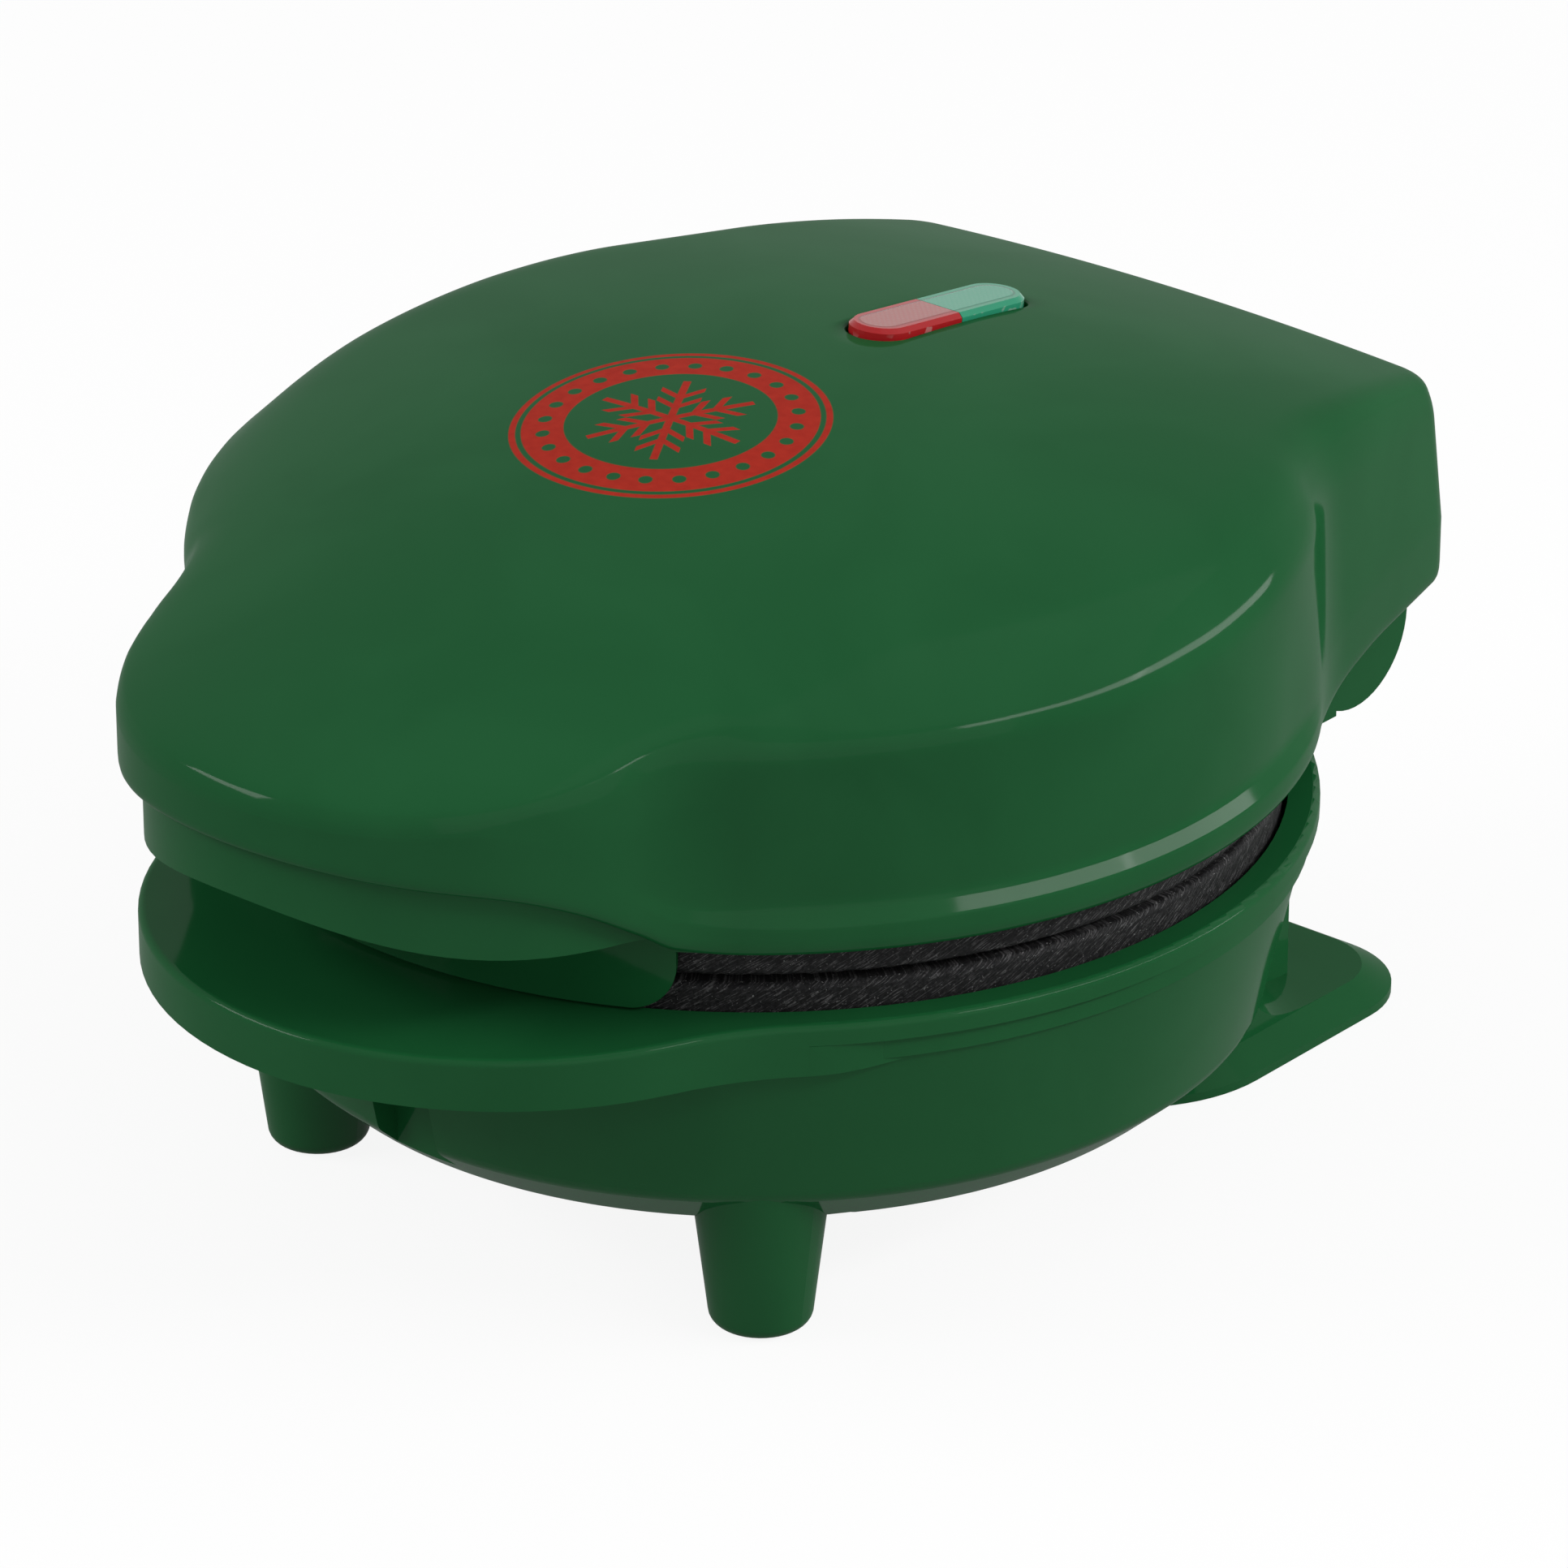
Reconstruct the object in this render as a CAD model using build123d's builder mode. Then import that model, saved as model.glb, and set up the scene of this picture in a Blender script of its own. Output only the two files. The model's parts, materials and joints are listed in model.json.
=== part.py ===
"""Small round waffle maker with a hinged lid.

Two green plastic halves, each with a heated cast plate, meet at a level seam. The lid has a
domed top, a front handle tongue and a rear block that turns on two hinge pins. The base is a
bowl with two front legs and a flat rear foot, under a deck with a matching front tongue.

Millimetres, +Z up, front at -Y. The origin is on the floor, under the middle of the overall
length and width; plan positions are counted from the plate axis, which stands at plate_y.
"""

from math import cos, exp, hypot, radians, sin, sqrt
import os

from build123d import *

os.makedirs("parts", exist_ok=True)

# Round body, seen from the plate axis
body_r = 61.0
handle_out = 21.0
front_reach = body_r + handle_out

# Neck, hinge line and the lid's rear block, each behind the one before
neck_inset = 1.5
tower_step = 1.0
tower_front = 20.0
hinge_back = 4.5
barrel_r = 9.1
rear_cover = 1.3
neck_rear = body_r - neck_inset
tower_rear = neck_rear + tower_step
hinge_y = neck_rear + hinge_back
rear_reach = hinge_y + barrel_r + rear_cover
plate_y = (front_reach - rear_reach) / 2

# Cooking plates
plate_margin = 4.0
plate_r = body_r - plate_margin
plate_edge = 0.7
plate_gap = 0.8
seam_z = 44.0
flange_t = 5.6
land_w = 6.5
cup_wall = 2.5
cup_depth = 8.0
cup_floor = 3.0
cup_draft = 1.2
ridge_pitch = 13.5
ridge_foot_w = 4.6
ridge_angle = 75
ridge_root = 0.2
ridge_h = 5.2
blind_end = 1.0
boss_ring_r = 22.0
boss_start = -90
plate_boss_r = 4.5
plate_boss_count = 3

# Heaters and heat shields
element_r = 3.2
element_ring_r = 36.0
element_gap_deg = 40.0
element_leg = 9.0
pin_rod_r = 1.1
pin_rod_len = 6.0
seat_gap = 0.1
boss_slack = 0.2
shield_t = 0.8
shield_step = 7.0
shield_rise = 5.0
shield_lip = 2.8
shield_hole_r = 11.5
leg_hole_gap = 0.6

# Deck of the base
deck_top = 40.7
deck_t = 4.7
deck_gap = 0.6
deck_edge = 0.8
rim_t = 2.3
rim_step = 0.8
tongue_drop = 1.0
ledge_gap = 0.3
ledge_t = 3.2
tongue_wider = 5.2
tongue_setback = 4.2
base_blend_r = 40.0
deck_skin = 2.0
deck_seat = 0.4
spigot_gap = 0.8

# Bowl, legs and rear foot
wall = 2.0
bowl_step = 1.4
bowl_draft = 4.0
bowl_turn = 5.6
bowl_floor_z = 12.9
bowl_bend = 5.0
bowl_round = 2.4
leg_inset = 2.1
leg_turn = 41.5
leg_foot_r = 5.4
leg_top_r = 7.7
leg_edge = 1.6
leg_lap = 1.0
foot_hw = 38.0
foot_t = 3.0
foot_edge_t = 1.0
foot_slope = 3.4
foot_skin = 2.2
foot_front = 22.0
foot_short = 1.0
foot_front_r = 19.0
foot_rear_r = 11.4
foot_hollow_r = 7.0
flare_step = 0.4
flare_reach = 13.0
flare_rise = 16.4
flare_pull = 3.0
flare_lean = 1.7
neck_hw = 28.0
notch_hw = 4.2
notch_depth = 5.0
notch_top_z = 25.8
post_r = 4.5

# Hinge
hinge_z = 45.0
barrel_side = 5.0
barrel_len = 15.0
hinge_pin_r = 3.0
pin_head_r = 4.6
pin_head_t = 1.5
pin_head_gap = 0.2
pin_grip = 11.0
pin_end_gap = 1.0
ear_t = 6.3
ear_gap = 0.7
ear_r = 6.2
run_gap = 0.05
swing_gap = 0.5

# Lid
lid_edge_z = 48.3
lid_rear_edge_z = 50.8
handle_r = 34.0
handle_blend_r = 18.0
crown_z = 86.4
crown_y = 4.0
dome_len = 420.0
dome_cross = 0.0026
dome_fade = 75.0
dome_side = 6.0
dome_end = 8.0
wall_below = 6.0
crease_z = 72.0
shoulder_w = 6.4
shoulder_h = 8.6
block_side = 5.1
block_taper = 0.267
block_blend_r = 38.0
block_corner_r = 7.0

# Handle underside: heights of the lid's lower edge, going back from the tip
handle_tip_z = 62.3
handle_mid_z = 58.4
handle_low_z = 52.3
handle_mid_back = 15.0
handle_low_back = 26.0
handle_root_back = 35.0
visor_tip_z = 57.0
visor_mid_z = 53.6
visor_low_z = 51.2
visor_end_z = 50.4
visor_mid_back = 5.6
visor_low_back = 17.5
visor_end_back = 31.4
rear_rise_ahead = 28.0
rear_level_ahead = 9.0
handle_screw_x = 16.0
handle_screw_back = 14.0
rear_screw_x = 5.5
rear_screw_behind = 2.0
screw_post_r = 3.2

# Liner under the lid
liner_wall = 1.3
liner_gap = 0.4
skirt_half_deg = 33.0
skirt_corner_r = 5.0
skirt_clear = 0.4
rim_overlap = 0.5
panel_z = 62.6
panel_t = 1.8
roof_t = 2.0
roof_clear = 0.9
roof_ahead = 12.0
panel_back = 30.0

# Indicator window
pill_y = 30.5
pill_len = 26.0
pill_w = 7.0
lens_proud = 0.7
lens_deep = 4.4
lens_lip = 1.5
lens_lip_t = 1.4
window_gap = 0.25
lens_split = 0.1
lens_edge = 0.5
holder_wall = 1.2
holder_deep = 8.0
tab_w = 6.0
tab_t = 1.6
lamp_r = 2.3
lamp_len = 9.0
lamp_round = 1.38
tab_reach = 3.35
tab_post_r = 2.4

# Screws
long_shank_r = 1.9
long_head_r = 3.6
long_head_t = 2.2
small_shank_r = 1.3
small_head_r = 2.7
small_head_t = 1.7
tiny_shank_r = 0.9
tiny_head_r = 1.9
tiny_head_t = 1.2
screw_gap = 0.15
thread_depth = 5.0
recess_len = 1.1
recess_w = 0.26
recess_deep = 0.55

# Thermostat and fuse
stat_r = 8.0
stat_t = 4.6
stat_cap_r = 6.6
stat_cap_t = 6.0
stat_tab_w = 6.3
stat_tab_t = 0.8
stat_round = 0.6
tab_len = 6.5
fuse_r = 2.0
fuse_len = 11.0
strap_w = 4.0
strap_t = 0.6
strap_foot = 3.0

# Cord inlet, clamp and terminal block
inlet_z = 14.0
gland_r = 5.0
gland_flange_r = 6.6
gland_flange_t = 1.8
gland_bore_r = 3.3
clamp_x = 9.0
clamp_back = 12.0
clamp_post_r = 3.0
clamp_w = 8.0
clamp_t = 4.4
clamp_flat = 0.5
clamp_thread = 1.0
cord_grip = 0.4
block_x = 19.2
block_len = 14.0
block_w = 11.0
block_h = 10.0
block_round = 1.2
lead_r = 1.2
lead_strip = 2.0
clamp_z = 12.5
lug_x = 22.6
lug_z = 30.0
lug_hw = 2.9
lug_t = 2.6
lug_gap = 0.1

# Heights and radii that follow
lower_top = seam_z - plate_gap / 2
lower_flange_z = lower_top - flange_t
lower_floor_z = lower_top - cup_depth
lower_back_z = lower_floor_z - cup_floor
cup_r = plate_r - land_w
cup_out_r = cup_r + cup_wall
boss_len = 2 * element_r + 2 * seat_gap + boss_slack
shield_z = lower_back_z - boss_len
deck_z = deck_top - deck_t
ledge_top = lower_flange_z - ledge_gap
ledge_z = ledge_top - ledge_t
ledge_r = cup_out_r + deck_gap
deck_hole_r = plate_r + deck_gap
rim_z = deck_top - rim_t
rim_low_r = body_r - rim_step
shield_flat_r = cup_out_r - shield_step
shield_out_r = ledge_r + shield_lip
bowl_top_r = body_r - bowl_step
bowl_low_r = bowl_top_r - bowl_draft
bowl_flat_r = bowl_low_r - bowl_turn
spigot_r = bowl_top_r - wall - spigot_gap
bowl_inside_z = bowl_floor_z + wall
leg_ring_r = bowl_flat_r - leg_inset
leg_x = leg_ring_r * sin(radians(leg_turn))
leg_y = -leg_ring_r * cos(radians(leg_turn))
leg_top_z = bowl_floor_z + bowl_bend + leg_lap
flare_r = bowl_low_r + flare_step
foot_rear = rear_reach - foot_short
foot_inside_z = foot_skin
hollow_front = foot_front + foot_slope + wall
clamp_y = neck_rear - clamp_back
barrel_out = neck_hw + barrel_side
barrel_in = barrel_out - barrel_len
ear_out = barrel_in - ear_gap
ear_in = ear_out - ear_t
pin_reach = barrel_in + pin_grip
pin_head_x = ear_in - pin_head_gap
block_hw = barrel_out + block_side
liner_out_r = body_r - wall - liner_gap
liner_in_r = liner_out_r - liner_wall
panel_top = panel_z + panel_t
roof_z = hinge_z + barrel_r + roof_clear
skirt_z = deck_top + skirt_clear
handle_c = front_reach - handle_r
handle_mid_y = handle_mid_back - front_reach
handle_low_y = handle_low_back - front_reach
handle_root_y = handle_root_back - front_reach
visor_mid_y = visor_mid_back - front_reach
visor_low_y = visor_low_back - front_reach
visor_end_y = visor_end_back - front_reach
handle_screw_y = handle_screw_back - front_reach
rear_screw_y = hinge_y + rear_screw_behind
rear_rise_y = hinge_y - rear_rise_ahead
rear_level_y = hinge_y - rear_level_ahead
roof_front = hinge_y - roof_ahead
panel_root = front_reach - panel_back
base_tongue_r = handle_r + tongue_wider
base_tongue_c = front_reach - tongue_setback - base_tongue_r
tab_x = pill_w / 2 + lens_lip + tab_reach

plate_axis = Axis((0, plate_y, 0), (0, 0, 1))
side_plane = Plane(origin=(0, plate_y, 0), x_dir=(1, 0, 0), z_dir=(0, -1, 0))
profile_plane = Plane(origin=(0, plate_y, 0), x_dir=(0, 1, 0), z_dir=(1, 0, 0))
seam_plane = Plane.XY.offset(seam_z)


def level(z):
    """Horizontal sketch plane at height z, centred on the plate axis."""
    return Plane((0, plate_y, z))


def block(x, y, z, mode=Mode.ADD):
    """Box between the low and high values of x, y and z, with y from the plate axis."""
    with Locations(((x[0] + x[1]) / 2, plate_y + (y[0] + y[1]) / 2, (z[0] + z[1]) / 2)):
        Box(x[1] - x[0], y[1] - y[0], z[1] - z[0], mode=mode)


def rod(start, end, radius, mode=Mode.ADD):
    """Round rod from start to end, both counted from the plate axis."""
    base = Vector(start[0], start[1] + plate_y, start[2])
    run = Vector(end[0], end[1] + plate_y, end[2]) - base
    with BuildSketch(Plane(origin=base, z_dir=run)) as disc:
        Circle(radius)
    extrude(disc.sketch, amount=run.length, mode=mode)


def lead(points, radius=lead_r):
    """Insulated wire through the points, with round corners."""
    for start, end in zip(points, points[1:]):
        rod(start, end, radius)
    for x, y, z in points[1:-1]:
        with Locations((x, plate_y + y, z)):
            Sphere(radius)


def front_blend(tongue_c, tongue_r, blend_r):
    """Centre of the concave arc between the round body and a front tongue, on the +X side."""
    to_body = body_r + blend_r
    to_tongue = tongue_r + blend_r
    y = -(tongue_c**2 + to_body**2 - to_tongue**2) / (2 * tongue_c)
    return sqrt(to_body**2 - y**2), y


def front_arcs(tongue_c, tongue_r, blend_r, inset):
    """Tongue tip arc and concave blend, in the current line; returns the blend's end on the body."""
    x, y = front_blend(tongue_c, tongue_r, blend_r)
    tip_r = tongue_r - inset
    share = tip_r / (tongue_r + blend_r)
    tongue_end = (x * share, -tongue_c + (y + tongue_c) * share)
    body_end = (x * (body_r - inset) / (body_r + blend_r), y * (body_r - inset) / (body_r + blend_r))
    tip = (0, -tongue_c - tip_r)
    RadiusArc(tip, tongue_end, -tip_r)
    RadiusArc(tongue_end, body_end, blend_r + inset)
    return body_end


def lid_outline(inset=0.0):
    """Lid in plan: round body, front handle and tapered rear block, drawn in by inset."""
    slope = hypot(1, block_taper)
    normal = (1 / slope, block_taper / slope)
    along = (-block_taper / slope, 1 / slope)
    reach = block_blend_r + normal[0] * block_hw + normal[1] * rear_reach
    run = sqrt((body_r + block_blend_r) ** 2 - reach**2)
    centre = (normal[0] * reach + along[0] * run, normal[1] * reach + along[1] * run)
    share = (body_r - inset) / (body_r + block_blend_r)
    blend = block_blend_r + inset
    corner = block_corner_r - inset
    rear = rear_reach - inset
    side_x = block_hw - inset * slope + block_taper * inset
    turn = corner * (slope - block_taper)
    with BuildSketch() as plan:
        with BuildLine():
            start = front_arcs(handle_c, handle_r, handle_blend_r, inset)
            leave = (centre[0] * share, centre[1] * share)
            meet = (centre[0] - normal[0] * blend, centre[1] - normal[1] * blend)
            corner_side = (side_x - along[0] * turn, rear - along[1] * turn)
            corner_rear = (side_x - turn, rear)
            RadiusArc(start, leave, -(body_r - inset))
            RadiusArc(leave, meet, blend)
            Line(meet, corner_side)
            RadiusArc(corner_side, corner_rear, -corner)
            Line(corner_rear, (0, rear))
            mirror(about=Plane.YZ)
        make_face()
    return plan.sketch


def deck_outline(inset=0.0):
    """Deck in plan: round body and front tongue."""
    with BuildSketch() as plan:
        with BuildLine():
            start = front_arcs(base_tongue_c, base_tongue_r, base_blend_r, inset)
            RadiusArc(start, (0, body_r - inset), -(body_r - inset))
            mirror(about=Plane.YZ)
        make_face()
    return plan.sketch


def tongue_plan():
    """Front part of the deck in plan, up to where its blend meets the round body."""
    with BuildSketch() as plan:
        add(deck_outline())
        blend_y = front_blend(base_tongue_c, base_tongue_r, base_blend_r)[1]
        meet_y = blend_y * body_r / (body_r + base_blend_r)
        with Locations((0, meet_y + body_r)):
            Rectangle(3 * body_r, 2 * body_r, mode=Mode.SUBTRACT)
    return plan.sketch


def tower_plan():
    """Rear part of the deck in plan, which carries the hinge barrels."""
    with BuildSketch() as plan:
        with Locations((0, (tower_front + tower_rear) / 2)):
            Rectangle(2 * barrel_out, tower_rear - tower_front)
    return plan.sketch


def dome_z(x, y):
    """Height of the lid's top over a plan point: bowed along and across, flatter behind."""
    return crown_z - (y - crown_y) ** 2 / dome_len - dome_cross * exp(-y / dome_fade) * x * x


def screw(tip, head, shank_r, head_r, head_t):
    """Pan-head screw: shank from tip to head, with a cross recess in the head."""
    rod(tip, head, shank_r)
    a = Vector(*tip)
    b = Vector(*head)
    out = (b - a).normalized()
    top = b + out * head_t
    rod(head, tuple(top), head_r)
    with BuildSketch(Plane(origin=Vector(top.X, top.Y + plate_y, top.Z), z_dir=out)) as cross:
        Rectangle(head_r * recess_len, head_r * recess_w)
        Rectangle(head_r * recess_w, head_r * recess_len)
    extrude(cross.sketch, amount=-head_t * recess_deep, mode=Mode.SUBTRACT)


def finish(part, name):
    """Label a finished piece and write its file."""
    part.label = name
    export_step(part, f"parts/{name}.step")


# Cooking plate: flanged cup with a lattice of ridges, and screw bosses on its back
ridge_count = 2 * int((cup_r - ridge_foot_w) / ridge_pitch) + 1
with BuildPart() as lattice:
    for facing in (side_plane, profile_plane):
        with BuildSketch(facing):
            with Locations((0, lower_floor_z - ridge_root)):
                with GridLocations(ridge_pitch, 1, ridge_count, 1):
                    Trapezoid(
                        ridge_foot_w,
                        ridge_h + ridge_root,
                        left_side_angle=ridge_angle,
                        align=(Align.CENTER, Align.MIN),
                    )
        extrude(amount=cup_r, both=True)
    with BuildSketch(level(lower_floor_z - ridge_root)):
        Circle(cup_r - cup_draft)
    extrude(amount=ridge_h + ridge_root, mode=Mode.INTERSECT)

with BuildPart() as lower_plate:
    with BuildSketch(side_plane):
        with BuildLine():
            Polyline(
                (0, lower_back_z),
                (cup_out_r, lower_back_z),
                (cup_out_r, lower_flange_z),
                (plate_r, lower_flange_z),
                (plate_r, lower_top),
                (cup_r, lower_top),
                (cup_r - cup_draft, lower_floor_z),
                (0, lower_floor_z),
                close=True,
            )
        make_face()
    revolve(axis=plate_axis)
    rim_edges = lower_plate.edges().filter_by(GeomType.CIRCLE).filter_by(
        lambda edge: edge.radius > plate_r - plate_edge
    )
    fillet(rim_edges, plate_edge)
    add(lattice.part)
    with BuildSketch(level(lower_back_z)):
        with PolarLocations(boss_ring_r, plate_boss_count, start_angle=boss_start):
            Circle(plate_boss_r)
    extrude(amount=-boss_len)
    with BuildSketch(level(shield_z)):
        with PolarLocations(boss_ring_r, plate_boss_count, start_angle=boss_start):
            Circle(long_shank_r + screw_gap)
    extrude(amount=boss_len + cup_floor - blind_end, mode=Mode.SUBTRACT)
finish(lower_plate.part, "lower_plate")

with BuildPart() as upper_plate:
    mirror(lower_plate.part, about=seam_plane)
finish(upper_plate.part, "upper_plate")

# Tubular heater: an open ring against the plate's back, with two legs and terminal rods
element_z = lower_back_z - element_r - seat_gap
ring_start = 90 + element_gap_deg / 2
leg_angle = radians(ring_start)
leg_at = (element_ring_r * cos(leg_angle), element_ring_r * sin(leg_angle))
with BuildPart() as lower_element:
    with BuildLine(level(element_z)) as heater_path:
        CenterArc((0, 0), element_ring_r, ring_start, 360 - element_gap_deg)
    with BuildSketch(Plane(origin=heater_path.line @ 0, z_dir=heater_path.line % 0)):
        Circle(element_r)
    sweep(path=heater_path.line)
    for side in (-1, 1):
        top = (side * leg_at[0], leg_at[1], element_z)
        low = (top[0], top[1], element_z - element_leg)
        with Locations((top[0], top[1] + plate_y, top[2])):
            Sphere(element_r)
        rod(top, low, element_r)
        rod(low, (low[0], low[1], low[2] - pin_rod_len), pin_rod_r)
finish(lower_element.part, "lower_element")

with BuildPart() as upper_element:
    mirror(lower_element.part, about=seam_plane)
finish(upper_element.part, "upper_element")

# Pressed heat shield: a dish that ties the plate's bosses to the ledge around it
with BuildPart() as lower_shield:
    with BuildSketch(side_plane):
        with BuildLine():
            Polyline(
                (shield_hole_r, shield_z),
                (shield_flat_r, shield_z),
                (ledge_r, shield_z + shield_rise),
                (ledge_r, ledge_z),
                (shield_out_r, ledge_z),
                (shield_out_r, ledge_z - shield_t),
                (ledge_r + shield_t, ledge_z - shield_t),
                (ledge_r + shield_t, shield_z + shield_rise - shield_t / 2),
                (shield_flat_r + shield_t / 4, shield_z - shield_t),
                (shield_hole_r, shield_z - shield_t),
                close=True,
            )
        make_face()
    revolve(axis=plate_axis)
    with BuildSketch(level(shield_z - shield_t)):
        with PolarLocations(boss_ring_r, plate_boss_count, start_angle=boss_start):
            Circle(long_shank_r + screw_gap)
        with Locations((-leg_at[0], leg_at[1]), leg_at):
            Circle(element_r + leg_hole_gap)
    extrude(amount=shield_t, mode=Mode.SUBTRACT)
finish(lower_shield.part, "lower_shield")

with BuildPart() as upper_shield:
    mirror(lower_shield.part, about=seam_plane)
finish(upper_shield.part, "upper_shield")

# Bowl of the base, as a full form first
with BuildPart() as bowl_form:
    with BuildSketch(side_plane):
        with BuildLine():
            Polyline(
                (0, deck_z),
                (bowl_top_r, deck_z),
                (bowl_low_r, bowl_floor_z + bowl_bend),
                (bowl_flat_r, bowl_floor_z),
                (0, bowl_floor_z),
                close=True,
            )
        make_face()
    revolve(axis=plate_axis)
    low_bends = bowl_form.edges().filter_by(GeomType.CIRCLE).filter_by(
        lambda edge: edge.center().Z < deck_z - wall
    )
    fillet(low_bends, bowl_round)

with BuildPart() as bowl_hollow:
    with BuildSketch(side_plane):
        with BuildLine():
            Polyline(
                (0, deck_z),
                (bowl_top_r - wall, deck_z),
                (bowl_low_r - wall, bowl_floor_z + bowl_bend + wall / 2),
                (bowl_flat_r - wall / 2, bowl_inside_z),
                (0, bowl_inside_z),
                close=True,
            )
        make_face()
    revolve(axis=plate_axis)

with BuildPart() as notch_walls:
    block(
        (-notch_hw - wall, notch_hw + wall),
        (-bowl_top_r, -bowl_low_r + notch_depth - wall / 2),
        (bowl_floor_z, notch_top_z + wall),
    )
    add(bowl_form.part, mode=Mode.INTERSECT)


def foot_outline(inset=0.0):
    """Rear foot in plan, its front corners rounder than its rear ones, drawn in by inset."""
    with BuildSketch() as plan:
        with Locations((0, (foot_front + foot_rear) / 2)):
            Rectangle(2 * (foot_hw - inset), foot_rear - foot_front - 2 * inset)
        corners = plan.vertices().group_by(Axis.Y)
        fillet(corners[0], foot_front_r - inset)
        corners = plan.vertices().group_by(Axis.Y)
        fillet(corners[-1], foot_rear_r - inset)
    return plan.sketch


with BuildPart() as foot_flare:
    with BuildSketch(side_plane):
        with BuildLine():
            flare_low = (flare_r + flare_reach, foot_t)
            flare_high = (flare_r, foot_t + flare_rise)
            Bezier(flare_low, (flare_r + flare_pull, foot_t), (flare_r - flare_lean, foot_t), flare_high)
            Polyline(flare_high, (0, foot_t + flare_rise), (0, foot_t), flare_low)
        make_face()
    revolve(axis=plate_axis)
    with BuildSketch(level(foot_t)):
        add(foot_outline(foot_slope))
    extrude(amount=flare_rise, mode=Mode.INTERSECT)

with BuildPart() as base_bowl:
    add(bowl_form.part)
    with BuildSketch(level(0)):
        add(foot_outline())
    extrude(amount=foot_edge_t)
    for rise, draw in ((0, 0), (foot_t - foot_edge_t, foot_slope)):
        with BuildSketch(level(foot_edge_t + rise)):
            add(foot_outline(draw))
    loft(ruled=True)
    add(foot_flare.part)
    block((-neck_hw, neck_hw), (foot_front + foot_front_r, neck_rear), (0, deck_z))
    for side in (-1, 1):
        with Locations((side * leg_x, plate_y + leg_y, 0)):
            Cone(
                leg_foot_r,
                leg_top_r,
                leg_top_z,
                align=(Align.CENTER, Align.CENTER, Align.MIN),
            )
    fillet(base_bowl.faces().sort_by(Axis.Z).filter_by(Plane.XY).filter_by(
        lambda face: face.center().Z < seat_gap and face.center().Y < 0
    ).edges(), leg_edge)
    add(bowl_hollow.part, mode=Mode.SUBTRACT)
    with BuildSketch(level(foot_inside_z)) as hollow_plan:
        with Locations((0, (hollow_front + neck_rear - wall) / 2)):
            Rectangle(2 * (neck_hw - wall), neck_rear - wall - hollow_front)
        fillet(hollow_plan.vertices().group_by(Axis.Y)[0], foot_hollow_r)
    extrude(amount=deck_z - foot_inside_z, mode=Mode.SUBTRACT)
    for side in (-1, 1):
        with Locations((side * leg_x, plate_y + leg_y, wall)):
            Cone(
                leg_foot_r - wall,
                leg_top_r - wall,
                leg_top_z - wall,
                align=(Align.CENTER, Align.CENTER, Align.MIN),
                mode=Mode.SUBTRACT,
            )
    block(
        (-gland_r, gland_r),
        (clamp_y - wall, clamp_y + wall),
        (foot_inside_z, clamp_z - gland_bore_r + cord_grip),
    )
    add(notch_walls.part)
    block(
        (-notch_hw, notch_hw),
        (-bowl_top_r - wall, -bowl_low_r + notch_depth - wall),
        (bowl_floor_z - wall, notch_top_z),
        mode=Mode.SUBTRACT,
    )
    post_top = shield_z - shield_t
    with BuildSketch(level(bowl_floor_z)):
        with PolarLocations(boss_ring_r, plate_boss_count, start_angle=boss_start):
            Circle(post_r)
    extrude(amount=post_top - bowl_floor_z)
    with BuildSketch(level(bowl_floor_z)):
        with PolarLocations(boss_ring_r, plate_boss_count, start_angle=boss_start):
            Circle(long_shank_r + screw_gap)
    extrude(amount=post_top - bowl_floor_z, mode=Mode.SUBTRACT)
    rod((0, neck_rear, inlet_z), (0, neck_rear - wall, inlet_z), gland_r, mode=Mode.SUBTRACT)
    for side in (-1, 1):
        rod(
            (side * lug_x, neck_rear, lug_z),
            (side * lug_x, neck_rear - wall, lug_z),
            small_shank_r + screw_gap,
            mode=Mode.SUBTRACT,
        )
        rod((side * clamp_x, clamp_y, foot_inside_z), (side * clamp_x, clamp_y, clamp_z), clamp_post_r)
        rod(
            (side * clamp_x, clamp_y, foot_inside_z + clamp_thread),
            (side * clamp_x, clamp_y, clamp_z),
            small_shank_r,
            mode=Mode.SUBTRACT,
        )
finish(base_bowl.part, "base_bowl")

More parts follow.
